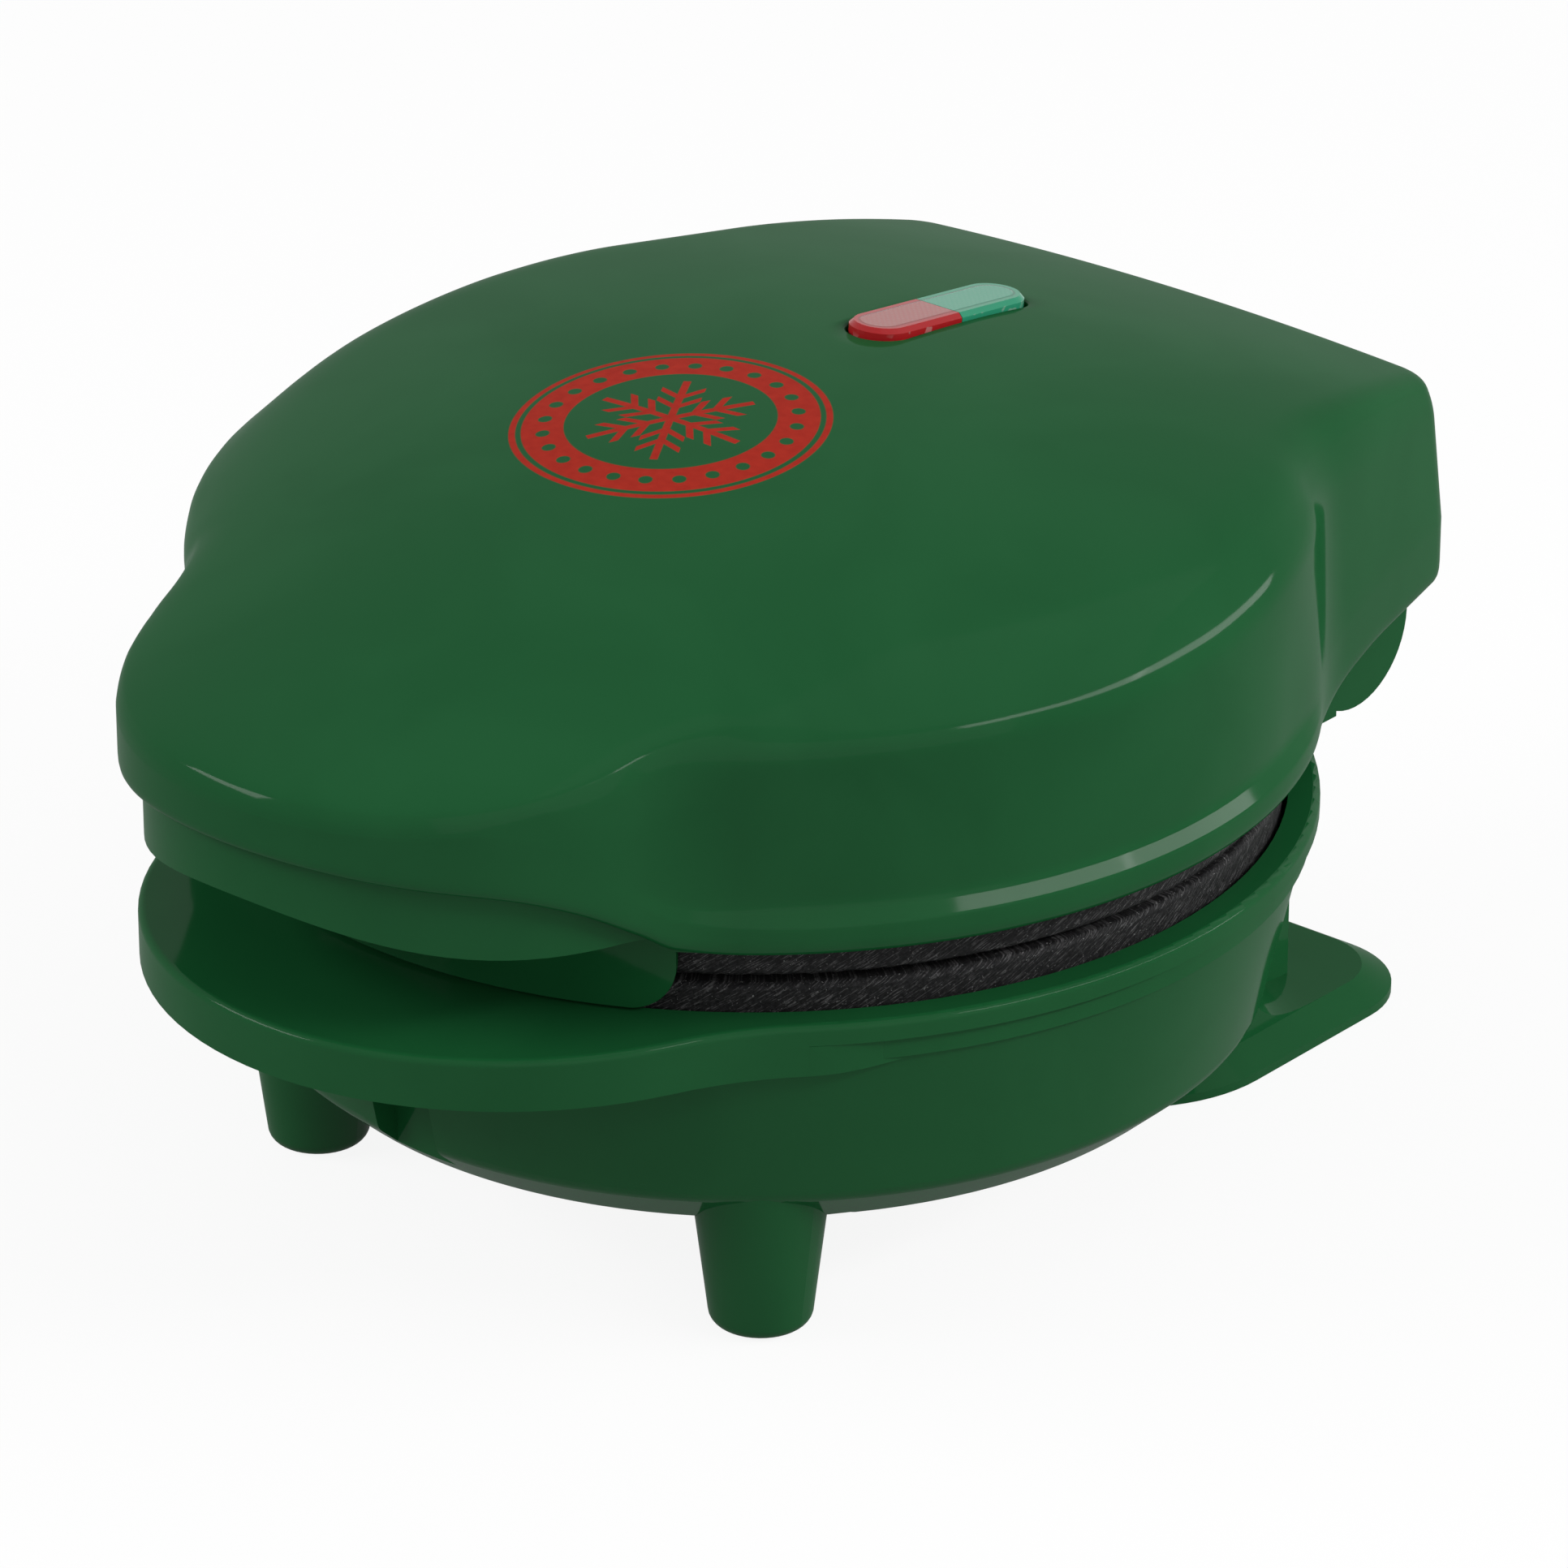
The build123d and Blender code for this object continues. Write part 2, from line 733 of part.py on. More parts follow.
# Deck of the base: rim, front tongue, inner ledge, hinge barrels and rear screw lugs
with BuildPart() as base_frame:
    with BuildSketch(level(rim_z)):
        add(deck_outline())
        add(tower_plan())
    extrude(amount=rim_t)
    fillet(base_frame.faces().sort_by(Axis.Z)[-1].edges(), deck_edge)
    with BuildSketch(level(deck_z)):
        Circle(rim_low_r)
        add(tongue_plan())
        add(tower_plan())
    extrude(amount=rim_z - deck_z)
    with BuildSketch(level(deck_z - tongue_drop)):
        add(tongue_plan())
        Circle(bowl_top_r + deck_seat, mode=Mode.SUBTRACT)
    extrude(amount=tongue_drop)
    with BuildSketch(level(deck_z - tongue_drop)):
        with Locations((0, -base_tongue_c)):
            Circle(base_tongue_r - wall)
        Circle(bowl_top_r + deck_seat, mode=Mode.SUBTRACT)
    extrude(amount=deck_t + tongue_drop - deck_skin, mode=Mode.SUBTRACT)
    with BuildSketch(level(ledge_z)):
        Circle(spigot_r)
    extrude(amount=deck_z - ledge_z)
    with BuildSketch(level(ledge_z)):
        Circle(ledge_r)
    extrude(amount=deck_top - ledge_z, mode=Mode.SUBTRACT)
    with BuildSketch(level(ledge_top)):
        Circle(deck_hole_r)
    extrude(amount=deck_top - ledge_top, mode=Mode.SUBTRACT)
    for side in (-1, 1):
        rod((side * barrel_in, hinge_y, hinge_z), (side * barrel_out, hinge_y, hinge_z), barrel_r)
        rod(
            (side * (ear_in - swing_gap), hinge_y, hinge_z),
            (side * barrel_in, hinge_y, hinge_z),
            ear_r + swing_gap,
            mode=Mode.SUBTRACT,
        )
        rod(
            (side * barrel_in, hinge_y, hinge_z),
            (side * (pin_reach + pin_end_gap), hinge_y, hinge_z),
            hinge_pin_r,
            mode=Mode.SUBTRACT,
        )
        block(
            (side * lug_x - lug_hw, side * lug_x + lug_hw),
            (neck_rear - wall - lug_gap - lug_t, neck_rear - wall - lug_gap),
            (lug_z - lug_hw, deck_z),
        )
        rod(
            (side * lug_x, neck_rear, lug_z),
            (side * lug_x, neck_rear - wall - lug_gap - lug_t, lug_z),
            small_shank_r,
            mode=Mode.SUBTRACT,
        )
finish(base_frame.part, "base_frame")

# Hinge pins, put in from between the lid's ears
with BuildPart() as hinge_pins:
    for side in (-1, 1):
        rod(
            (side * pin_head_x, hinge_y, hinge_z),
            (side * pin_reach, hinge_y, hinge_z),
            hinge_pin_r,
        )
        rod(
            (side * (pin_head_x - pin_head_t), hinge_y, hinge_z),
            (side * pin_head_x, hinge_y, hinge_z),
            pin_head_r,
        )
finish(hinge_pins.part, "hinge_pins")

# Long screws from under the bowl through the posts and the shield into the lower plate
with BuildPart() as base_screws:
    for turn in range(plate_boss_count):
        angle = radians(boss_start + turn * 360 / plate_boss_count)
        x, y = boss_ring_r * cos(angle), boss_ring_r * sin(angle)
        screw(
            (x, y, shield_z + thread_depth),
            (x, y, bowl_floor_z),
            long_shank_r,
            long_head_r,
            long_head_t,
        )
finish(base_screws.part, "base_screws")

# Screws through the neck's rear wall into the deck's lugs
with BuildPart() as neck_screws:
    for side in (-1, 1):
        screw(
            (side * lug_x, neck_rear - wall - lug_gap - lug_t, lug_z),
            (side * lug_x, neck_rear, lug_z),
            small_shank_r,
            small_head_r,
            small_head_t,
        )
finish(neck_screws.part, "neck_screws")

# Cord inlet bush: outer flange, barrel in the wall and inner flange
with BuildPart() as cord_gland:
    rod(
        (0, neck_rear, inlet_z),
        (0, neck_rear + gland_flange_t, inlet_z),
        gland_flange_r,
    )
    fillet(cord_gland.edges().group_by(Axis.Y)[-1], gland_flange_t / 2)
    rod((0, neck_rear, inlet_z), (0, neck_rear - wall, inlet_z), gland_r)
    rod(
        (0, neck_rear - wall, inlet_z),
        (0, neck_rear - wall - gland_flange_t, inlet_z),
        gland_flange_r,
    )
    rod(
        (0, neck_rear + gland_flange_t, inlet_z),
        (0, neck_rear - wall - gland_flange_t, inlet_z),
        gland_bore_r,
        mode=Mode.SUBTRACT,
    )
finish(cord_gland.part, "cord_gland")

# Clamp bar that grips a cord behind the inlet, and its screws
with BuildPart() as cord_clamp:
    block(
        (-clamp_x - clamp_w / 2, clamp_x + clamp_w / 2),
        (clamp_y - clamp_w / 2, clamp_y + clamp_w / 2),
        (clamp_z, clamp_z + clamp_t),
    )
    fillet(cord_clamp.edges().filter_by(Axis.Z), clamp_w / 2 - clamp_flat)
    with Locations((0, plate_y + clamp_y, clamp_z)):
        Cylinder(gland_bore_r - cord_grip, clamp_w, rotation=(90, 0, 0), mode=Mode.SUBTRACT)
    for side in (-1, 1):
        rod(
            (side * clamp_x, clamp_y, clamp_z),
            (side * clamp_x, clamp_y, clamp_z + clamp_t),
            small_shank_r + screw_gap,
            mode=Mode.SUBTRACT,
        )
finish(cord_clamp.part, "cord_clamp")

with BuildPart() as clamp_screws:
    for side in (-1, 1):
        screw(
            (side * clamp_x, clamp_y, clamp_z - thread_depth),
            (side * clamp_x, clamp_y, clamp_z + clamp_t),
            small_shank_r,
            small_head_r,
            small_head_t,
        )
finish(clamp_screws.part, "clamp_screws")

# Thermal fuse against the lower plate's back, with its lead wires and strap
fuse_z = lower_back_z - fuse_r - seat_gap
with BuildPart() as thermal_fuse:
    rod((-fuse_len / 2, 0, fuse_z), (fuse_len / 2, 0, fuse_z), fuse_r)
    for side in (-1, 1):
        lead(
            [
                (side * fuse_len / 2, 0, fuse_z),
                (side * (fuse_len / 2 + fuse_r), 0, fuse_z),
                (side * (fuse_len / 2 + fuse_r), 0, shield_z - tab_len),
            ],
            lead_r / 2,
        )
finish(thermal_fuse.part, "thermal_fuse")

with BuildPart() as fuse_strap:
    strap_x = (-strap_w / 2, strap_w / 2)
    strap_y = fuse_r + strap_t + seat_gap
    block(strap_x, (-strap_y, strap_y), (fuse_z - strap_y, lower_back_z))
    block(strap_x, (-strap_y + strap_t, strap_y - strap_t), (fuse_z, lower_back_z), mode=Mode.SUBTRACT)
    rod(
        (-strap_w / 2, 0, fuse_z),
        (strap_w / 2, 0, fuse_z),
        fuse_r + seat_gap,
        mode=Mode.SUBTRACT,
    )
    for side in (-1, 1):
        foot_y = sorted((side * strap_y, side * (strap_y + strap_foot)))
        block(strap_x, foot_y, (lower_back_z - strap_t, lower_back_z))
finish(fuse_strap.part, "fuse_strap")

# Terminal block on the floor of the rear foot, with three clamp screws
block_y = leg_at[1] + block_len / 3
with BuildPart() as terminal_block:
    block(
        (block_x - block_w / 2, block_x + block_w / 2),
        (block_y - block_len / 2, block_y + block_len / 2),
        (foot_inside_z, foot_inside_z + block_h),
    )
    fillet(terminal_block.edges().filter_by(Axis.Z), block_round)
    with BuildSketch(level(foot_inside_z + block_h)):
        with Locations((block_x, block_y)):
            with GridLocations(1, block_len / 3, 1, 3):
                Circle(tiny_head_r)
    extrude(amount=-tiny_head_t, mode=Mode.SUBTRACT)
    for row in (-1, 0, 1):
        rod(
            (block_x - block_w / 2, block_y + row * block_len / 3, foot_inside_z + block_h / 2),
            (block_x + block_w / 2, block_y + row * block_len / 3, foot_inside_z + block_h / 2),
            lead_r + seat_gap,
            mode=Mode.SUBTRACT,
        )
        rod(
            (block_x, block_y + row * block_len / 3, foot_inside_z + block_h / 2),
            (block_x, block_y + row * block_len / 3, foot_inside_z + block_h),
            tiny_shank_r,
            mode=Mode.SUBTRACT,
        )
finish(terminal_block.part, "terminal_block")

with BuildPart() as terminal_screws:
    for row in (-1, 0, 1):
        y = block_y + row * block_len / 3
        top = foot_inside_z + block_h
        screw(
            (block_x, y, foot_inside_z + block_h / 2 + lead_r + seat_gap),
            (block_x, y, top - tiny_head_t),
            tiny_shank_r,
            tiny_head_r - seat_gap,
            tiny_head_t,
        )
finish(terminal_screws.part, "terminal_screws")

# Wires of the base: terminal block to the heater's rods and to the fuse
rod_low_z = element_z - element_leg - pin_rod_len
fuse_x = fuse_len / 2 + fuse_r
fuse_low_z = shield_z - tab_len
floor_lead_z = bowl_inside_z + 1.5 * lead_r
drop_y = hollow_front + 3 * lead_r
with BuildPart() as base_leads:
    row_z = foot_inside_z + block_h / 2
    row_y = block_y + block_len / 3
    in_block = block_x - block_w / 2 + lead_strip
    lead(
        [
            (in_block, leg_at[1], row_z),
            (-leg_at[0], leg_at[1], row_z),
            (-leg_at[0], leg_at[1], rod_low_z),
        ]
    )
    lead(
        [
            (in_block, row_y, row_z),
            (leg_at[0], row_y, row_z),
            (leg_at[0], leg_at[1], row_z),
            (leg_at[0], leg_at[1], rod_low_z),
        ]
    )
    lead(
        [
            (fuse_x, 0, fuse_low_z),
            (fuse_x, 0, floor_lead_z),
            (fuse_x, drop_y, floor_lead_z),
            (fuse_x, drop_y, row_z),
            (fuse_x, block_y, row_z),
            (in_block, block_y, row_z),
        ]
    )
    lead(
        [
            (-fuse_x, 0, fuse_low_z),
            (-fuse_x, 0, floor_lead_z),
            (-fuse_x, drop_y, floor_lead_z),
            (-fuse_x, drop_y, row_z),
            (-fuse_x, leg_at[1], row_z),
            (leg_at[0], leg_at[1], row_z),
        ]
    )
finish(base_leads.part, "base_leads")

# Lid: dome from cross-sections along its length, cut with the plan's walls and shoulder
dome_pitch = 22.0
dome_stations = [
    -front_reach - dome_end,
    *(crown_y + step * dome_pitch for step in range(-3, 3)),
    rear_reach + dome_end,
]


def dome(drop):
    """Solid under the lid's domed top, lowered by drop."""
    half = body_r + dome_side
    with BuildPart() as under:
        for y in dome_stations:
            crown = dome_z(0, y) - drop
            mid = dome_z(half / 2, y) - drop
            eave = dome_z(half, y) - drop
            with BuildSketch(Plane(origin=(0, plate_y + y, 0), x_dir=(1, 0, 0), z_dir=(0, -1, 0))):
                with BuildLine():
                    Spline((-half, eave), (-half / 2, mid), (0, crown), (half / 2, mid), (half, eave))
                    Polyline((half, eave), (half, 0), (-half, 0), (-half, eave))
                make_face()
        loft()
    return under.part


def lid_body(inset, drop, low_z):
    """Lid as a full form: upright wall, sloped shoulder and dome, drawn in by inset."""
    fold_z = crease_z - drop * shoulder_w / hypot(shoulder_w, shoulder_h)
    with BuildPart() as form:
        with BuildSketch(level(low_z)):
            add(lid_outline(inset))
        extrude(amount=fold_z - low_z)
        for rise, draw in ((0, 0), (shoulder_h, shoulder_w)):
            with BuildSketch(level(fold_z + rise)):
                add(lid_outline(inset + draw * (1 - inset / block_corner_r)))
        loft(ruled=True)
        with BuildSketch(level(fold_z + shoulder_h)):
            add(lid_outline(inset + shoulder_w * (1 - inset / block_corner_r)))
        extrude(amount=crown_z - fold_z)
        add(dome(drop), mode=Mode.INTERSECT)
    return form.part


def under_edge(low_z):
    """Region under the lid's lower edge: raised under the handle tip and at the rear block."""
    with BuildPart() as region:
        with BuildSketch(profile_plane):
            with BuildLine():
                rise = Spline(
                    (-front_reach - 1, handle_tip_z),
                    (handle_mid_y, handle_mid_z),
                    (handle_low_y, handle_low_z),
                    (handle_root_y, lid_edge_z),
                    tangents=[(1, -0.1), (1, -0.1)],
                )
                Polyline(
                    rise @ 1,
                    (rear_rise_y, lid_edge_z),
                    (rear_level_y, lid_rear_edge_z),
                    (rear_reach + 1, lid_rear_edge_z),
                    (rear_reach + 1, low_z),
                    (-front_reach - 1, low_z),
                    rise @ 0,
                )
            make_face()
        extrude(amount=body_r + 2, both=True)
    return region.part


lid_low_z = lid_edge_z - wall_below
pill_z = dome_z(0, pill_y)
pill_slope = -2 * (pill_y - crown_y) / dome_len
lens_plane = Plane(
    origin=(0, plate_y + pill_y, pill_z),
    x_dir=(1, 0, 0),
    z_dir=(0, -pill_slope, 1),
)


def lens_level(height):
    """Plane along the lid's top at the window, raised by height."""
    return lens_plane.offset(height)


handle_screws = [(side * handle_screw_x, handle_screw_y) for side in (-1, 1)]
rear_screws = [(side * rear_screw_x, rear_screw_y) for side in (-1, 1)]

with BuildPart() as lid_shell:
    add(lid_body(0, 0, lid_low_z))
    add(under_edge(lid_low_z - 1), mode=Mode.SUBTRACT)
    add(lid_body(wall, wall, lid_low_z - 1), mode=Mode.SUBTRACT)
    for x, y in handle_screws:
        rod((x, y, panel_top), (x, y, dome_z(x, y) - wall / 2), screw_post_r)
        rod((x, y, panel_top), (x, y, panel_top + thread_depth), small_shank_r, mode=Mode.SUBTRACT)
    for x, y in rear_screws:
        rod((x, y, roof_z + roof_t), (x, y, dome_z(x, y) - wall / 2), screw_post_r)
        rod(
            (x, y, roof_z + roof_t),
            (x, y, roof_z + roof_t + thread_depth),
            small_shank_r,
            mode=Mode.SUBTRACT,
        )
    with BuildSketch(lens_level(-lens_deep - tab_t)):
        with Locations((-tab_x, 0), (tab_x, 0)):
            Circle(tab_post_r)
    extrude(amount=lens_deep + tab_t - wall / 2)
    with BuildSketch(lens_level(-lens_deep - tab_t)):
        with Locations((-tab_x, 0), (tab_x, 0)):
            Circle(tiny_shank_r)
    extrude(amount=lens_deep, mode=Mode.SUBTRACT)
    with BuildSketch(lens_level(-lens_deep)):
        SlotOverall(pill_len + 2 * window_gap, pill_w + 2 * window_gap, rotation=90)
    extrude(amount=2 * lens_deep, mode=Mode.SUBTRACT)
finish(lid_shell.part, "lid_shell")


def lens_half(side):
    """One half of the window: a proud half-pill on a lip that sits under the shell."""
    with BuildPart() as lens:
        with BuildSketch(lens_level(-lens_deep)):
            SlotOverall(pill_len + 2 * lens_lip, pill_w + 2 * lens_lip, rotation=90)
        extrude(amount=lens_lip_t)
        with BuildSketch(lens_level(-lens_deep)):
            SlotOverall(pill_len, pill_w, rotation=90)
        extrude(amount=lens_deep + lens_proud)
        chamfer(lens.faces().sort_by(Axis.Z)[-1].edges(), lens_edge)
        with BuildSketch(lens_level(-lens_deep)):
            with Locations((0, side * (pill_len / 2 + lens_split / 2))):
                Rectangle(2 * pill_w, pill_len)
        extrude(amount=lens_deep + lens_proud, mode=Mode.INTERSECT)
    return lens.part


lens_red = lens_half(-1)
finish(lens_red, "lens_red")
lens_green = lens_half(1)
finish(lens_green, "lens_green")

# Lamp holder: an open tray under the window with a divider and two screw tabs
with BuildPart() as lamp_holder:
    tray_len = pill_len + 2 * lens_lip
    tray_w = pill_w + 2 * lens_lip
    with BuildSketch(lens_level(-lens_deep)):
        SlotOverall(tray_len, tray_w, rotation=90)
    extrude(amount=-holder_deep)
    with BuildSketch(lens_level(-lens_deep)):
        SlotOverall(tray_len - 2 * holder_wall, tray_w - 2 * holder_wall, rotation=90)
        Rectangle(tray_w, holder_wall, mode=Mode.SUBTRACT)
    extrude(amount=holder_wall - holder_deep, mode=Mode.SUBTRACT)
    for side in (-1, 1):
        with BuildSketch(lens_level(-lens_deep - tab_t)):
            with Locations((side * tab_x, 0)):
                Circle(tab_w / 2)
            with Locations((side * (tab_x + tray_w / 2) / 2, 0)):
                Rectangle(tab_x - tray_w / 2 + tab_w / 2, tab_w)
        extrude(amount=-tab_t)
    with BuildSketch(lens_level(-lens_deep)):
        with Locations((-tab_x, 0), (tab_x, 0)):
            Circle(tiny_shank_r + screw_gap)
    extrude(amount=-holder_deep, mode=Mode.SUBTRACT)
finish(lamp_holder.part, "lamp_holder")


def lens_point(across, along, height):
    """Point in the window's own frame, given from the plate axis."""
    spot = lens_plane.from_local_coords((across, along, height))
    return spot.X, spot.Y - plate_y, spot.Z


with BuildPart() as holder_screws:
    for side in (-1, 1):
        screw(
            lens_point(side * tab_x, 0, -lens_deep),
            lens_point(side * tab_x, 0, -lens_deep - 2 * tab_t),
            tiny_shank_r,
            tiny_head_r,
            tiny_head_t,
        )
finish(holder_screws.part, "holder_screws")


def lamp(side):
    """Small glass lamp lying in its half of the tray."""
    middle = side * tray_len / 4
    height = -lens_deep - holder_deep + holder_wall + lamp_r
    with BuildPart() as bulb:
        rod(
            lens_point(0, middle - lamp_len / 2, height),
            lens_point(0, middle + lamp_len / 2, height),
            lamp_r,
        )
        fillet(bulb.edges().filter_by(GeomType.CIRCLE), lamp_round)
    return bulb.part


lamp_red = lamp(-1)
finish(lamp_red, "lamp_red")
lamp_green = lamp(1)
finish(lamp_green, "lamp_green")

# Snap thermostat: body on the upper plate's back, cap and two tabs above
upper_back_z = 2 * seam_z - lower_back_z
upper_shield_z = 2 * seam_z - shield_z
with BuildPart() as thermostat:
    rod((0, 0, upper_back_z), (0, 0, upper_back_z + stat_t), stat_r)
    rod((0, 0, upper_back_z + stat_t), (0, 0, upper_back_z + stat_t + stat_cap_t), stat_cap_r)
    fillet(thermostat.edges().group_by(Axis.Z)[-1], stat_round)
    for side in (-1, 1):
        block(
            (side * stat_cap_r / 2 - stat_tab_t / 2, side * stat_cap_r / 2 + stat_tab_t / 2),
            (-stat_tab_w / 2, stat_tab_w / 2),
            (upper_back_z + stat_t + stat_cap_t, upper_back_z + stat_t + stat_cap_t + tab_len),
        )
finish(thermostat.part, "thermostat")

with BuildPart() as upper_plate_screws:
    for turn in range(plate_boss_count):
        angle = radians(boss_start + turn * 360 / plate_boss_count)
        x, y = boss_ring_r * cos(angle), boss_ring_r * sin(angle)
        screw(
            (x, y, upper_shield_z - thread_depth),
            (x, y, upper_shield_z + shield_t),
            long_shank_r,
            long_head_r,
            long_head_t,
        )
finish(upper_plate_screws.part, "upper_plate_screws")

# Liner: ring around the upper plate, front skirt, handle panel, hinge roof and ears
liner_top_z = 2 * seam_z - ledge_z
liner_ledge_z = 2 * seam_z - ledge_top
rim_inset = wall + liner_gap
with BuildPart() as visor:
    with BuildSketch(level(skirt_z)):
        add(lid_outline(rim_inset))
        add(lid_outline(rim_inset + liner_wall), mode=Mode.SUBTRACT)
        with Locations((0, body_r)):
            Rectangle(3 * body_r, 2 * body_r - 2 * visor_end_y, mode=Mode.SUBTRACT)
    extrude(amount=panel_top - skirt_z)
    with BuildSketch(profile_plane):
        with BuildLine():
            rim_edge = Spline(
                (-front_reach, visor_tip_z),
                (visor_mid_y, visor_mid_z),
                (visor_low_y, visor_low_z),
                (visor_end_y, visor_end_z),
            )
            Polyline(
                rim_edge @ 1,
                (visor_end_y, skirt_z - wall),
                (-front_reach, skirt_z - wall),
                rim_edge @ 0,
            )
        make_face()
    extrude(amount=body_r, both=True, mode=Mode.SUBTRACT)
with BuildPart() as skirt:
    with BuildSketch(level(skirt_z)):
        Circle(liner_out_r)
        Circle(liner_in_r, mode=Mode.SUBTRACT)
        with BuildLine():
            side_x = 2 * body_r * sin(radians(skirt_half_deg))
            side_y = -2 * body_r * cos(radians(skirt_half_deg))
            Polyline((0, 0), (-side_x, side_y), (side_x, side_y), close=True)
        make_face(mode=Mode.INTERSECT)
    extrude(amount=panel_top - skirt_z)
    fillet(skirt.edges().group_by(Axis.Z)[0].filter_by(GeomType.LINE), skirt_corner_r)
with BuildPart() as lid_liner:
    with BuildSketch(level(lid_edge_z - rim_overlap)):
        Circle(liner_out_r)
    extrude(amount=liner_top_z - lid_edge_z + rim_overlap)
    with BuildSketch(level(panel_z)):
        add(lid_outline(rim_inset))
        with Locations((0, body_r)):
            Rectangle(3 * body_r, 2 * body_r + 2 * panel_root, mode=Mode.SUBTRACT)
    extrude(amount=panel_t)
    add(visor.part)
    add(skirt.part)
    with BuildSketch(level(lid_edge_z - rim_overlap)):
        Circle(liner_in_r)
    extrude(amount=liner_ledge_z - lid_edge_z + rim_overlap, mode=Mode.SUBTRACT)
    with BuildSketch(level(liner_ledge_z)):
        Circle(ledge_r)
    extrude(amount=panel_top - liner_ledge_z, mode=Mode.SUBTRACT)
    with BuildSketch(level(roof_z)):
        add(lid_outline(rim_inset))
        with Locations((0, roof_front - 2 * body_r)):
            Rectangle(3 * body_r, 4 * body_r, mode=Mode.SUBTRACT)
    extrude(amount=roof_t)
    with BuildSketch(level(liner_ledge_z)):
        add(lid_outline(rim_inset))
        with Locations((0, roof_front - 2 * body_r)):
            Rectangle(3 * body_r, 4 * body_r, mode=Mode.SUBTRACT)
        with Locations((0, roof_front + roof_t + body_r)):
            Rectangle(3 * body_r, 2 * body_r, mode=Mode.SUBTRACT)
    extrude(amount=roof_z - liner_ledge_z)
    with BuildSketch(level(liner_ledge_z)):
        Circle(ledge_r)
    extrude(amount=liner_top_z - liner_ledge_z, mode=Mode.SUBTRACT)
    with BuildSketch(level(liner_top_z)):
        Circle(shield_out_r + liner_gap)
    extrude(amount=panel_top - liner_top_z, mode=Mode.SUBTRACT)
    for side in (-1, 1):
        rod(
            (side * (barrel_in - swing_gap), hinge_y, hinge_z),
            (side * (barrel_out + swing_gap), hinge_y, hinge_z),
            barrel_r + swing_gap,
            mode=Mode.SUBTRACT,
        )
        ear_x = sorted((side * ear_in, side * ear_out))
        rod((ear_x[0], hinge_y, hinge_z), (ear_x[1], hinge_y, hinge_z), ear_r)
        block(ear_x, (hinge_y - ear_r, hinge_y + ear_r), (hinge_z, roof_z + roof_t / 2))
        rod(
            (ear_x[0], hinge_y, hinge_z),
            (ear_x[1], hinge_y, hinge_z),
            hinge_pin_r + run_gap,
            mode=Mode.SUBTRACT,
        )
    for x, y in handle_screws:
        rod((x, y, panel_z), (x, y, panel_top), small_shank_r + screw_gap, mode=Mode.SUBTRACT)
    for x, y in rear_screws:
        rod((x, y, roof_z), (x, y, roof_z + roof_t), small_shank_r + screw_gap, mode=Mode.SUBTRACT)
finish(lid_liner.part, "lid_liner")

with BuildPart() as lid_screws:
    for spots, under, top in (
        (handle_screws, panel_z, panel_top),
        (rear_screws, roof_z, roof_z + roof_t),
    ):
        for x, y in spots:
            screw(
                (x, y, top + thread_depth),
                (x, y, under),
                small_shank_r,
                small_head_r,
                small_head_t,
            )
finish(lid_screws.part, "lid_screws")

# Wires of the lid: from the heater's rods to the thermostat's tabs
upper_rod_z = 2 * seam_z - rod_low_z
tabs_z = upper_back_z + stat_t + stat_cap_t + tab_len
run_z = upper_rod_z + lead_r + seat_gap
run_x = leg_at[0] - 2 * lead_r
run_y = stat_tab_w / 2 + 2 * lead_r
with BuildPart() as lid_leads:
    for side in (-1, 1):
        lead(
            [
                (side * leg_at[0], leg_at[1], upper_rod_z),
                (side * leg_at[0], leg_at[1], run_z),
                (side * run_x, leg_at[1], run_z),
                (side * run_x, run_y, run_z),
                (-side * stat_cap_r / 2, run_y, run_z),
                (-side * stat_cap_r / 2, run_y, tabs_z - lead_r),
                (-side * stat_cap_r / 2, stat_tab_w / 2, tabs_z - lead_r),
            ]
        )
finish(lid_leads.part, "lid_leads")
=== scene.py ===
import json
import math

import bpy
import numpy as np
from mathutils import Matrix, Vector


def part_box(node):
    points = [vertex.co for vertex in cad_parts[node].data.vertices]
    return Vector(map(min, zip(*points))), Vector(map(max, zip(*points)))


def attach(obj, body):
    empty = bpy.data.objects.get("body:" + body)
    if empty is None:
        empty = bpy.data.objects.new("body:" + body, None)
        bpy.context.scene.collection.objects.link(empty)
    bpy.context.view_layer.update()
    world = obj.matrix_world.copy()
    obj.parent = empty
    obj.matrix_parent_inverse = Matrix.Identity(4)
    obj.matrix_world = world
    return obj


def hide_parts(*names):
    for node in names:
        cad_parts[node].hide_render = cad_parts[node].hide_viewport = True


# Dressed scene of the small waffle maker: materials, lid cover, skirt ends, lamps and camera
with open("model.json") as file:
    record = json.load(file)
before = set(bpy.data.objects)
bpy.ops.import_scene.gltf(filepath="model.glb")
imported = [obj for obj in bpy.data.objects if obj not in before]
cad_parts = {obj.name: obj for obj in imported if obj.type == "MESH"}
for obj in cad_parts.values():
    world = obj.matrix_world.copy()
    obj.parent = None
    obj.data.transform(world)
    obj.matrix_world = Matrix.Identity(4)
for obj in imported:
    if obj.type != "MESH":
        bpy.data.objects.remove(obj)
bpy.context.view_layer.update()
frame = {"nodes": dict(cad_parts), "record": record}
MM = 0.001
NODES = frame["nodes"]


def node_box(name):
    """Lowest and highest corner of a CAD node, in millimetres."""
    low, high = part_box(name)
    return np.array(low) / MM, np.array(high) / MM


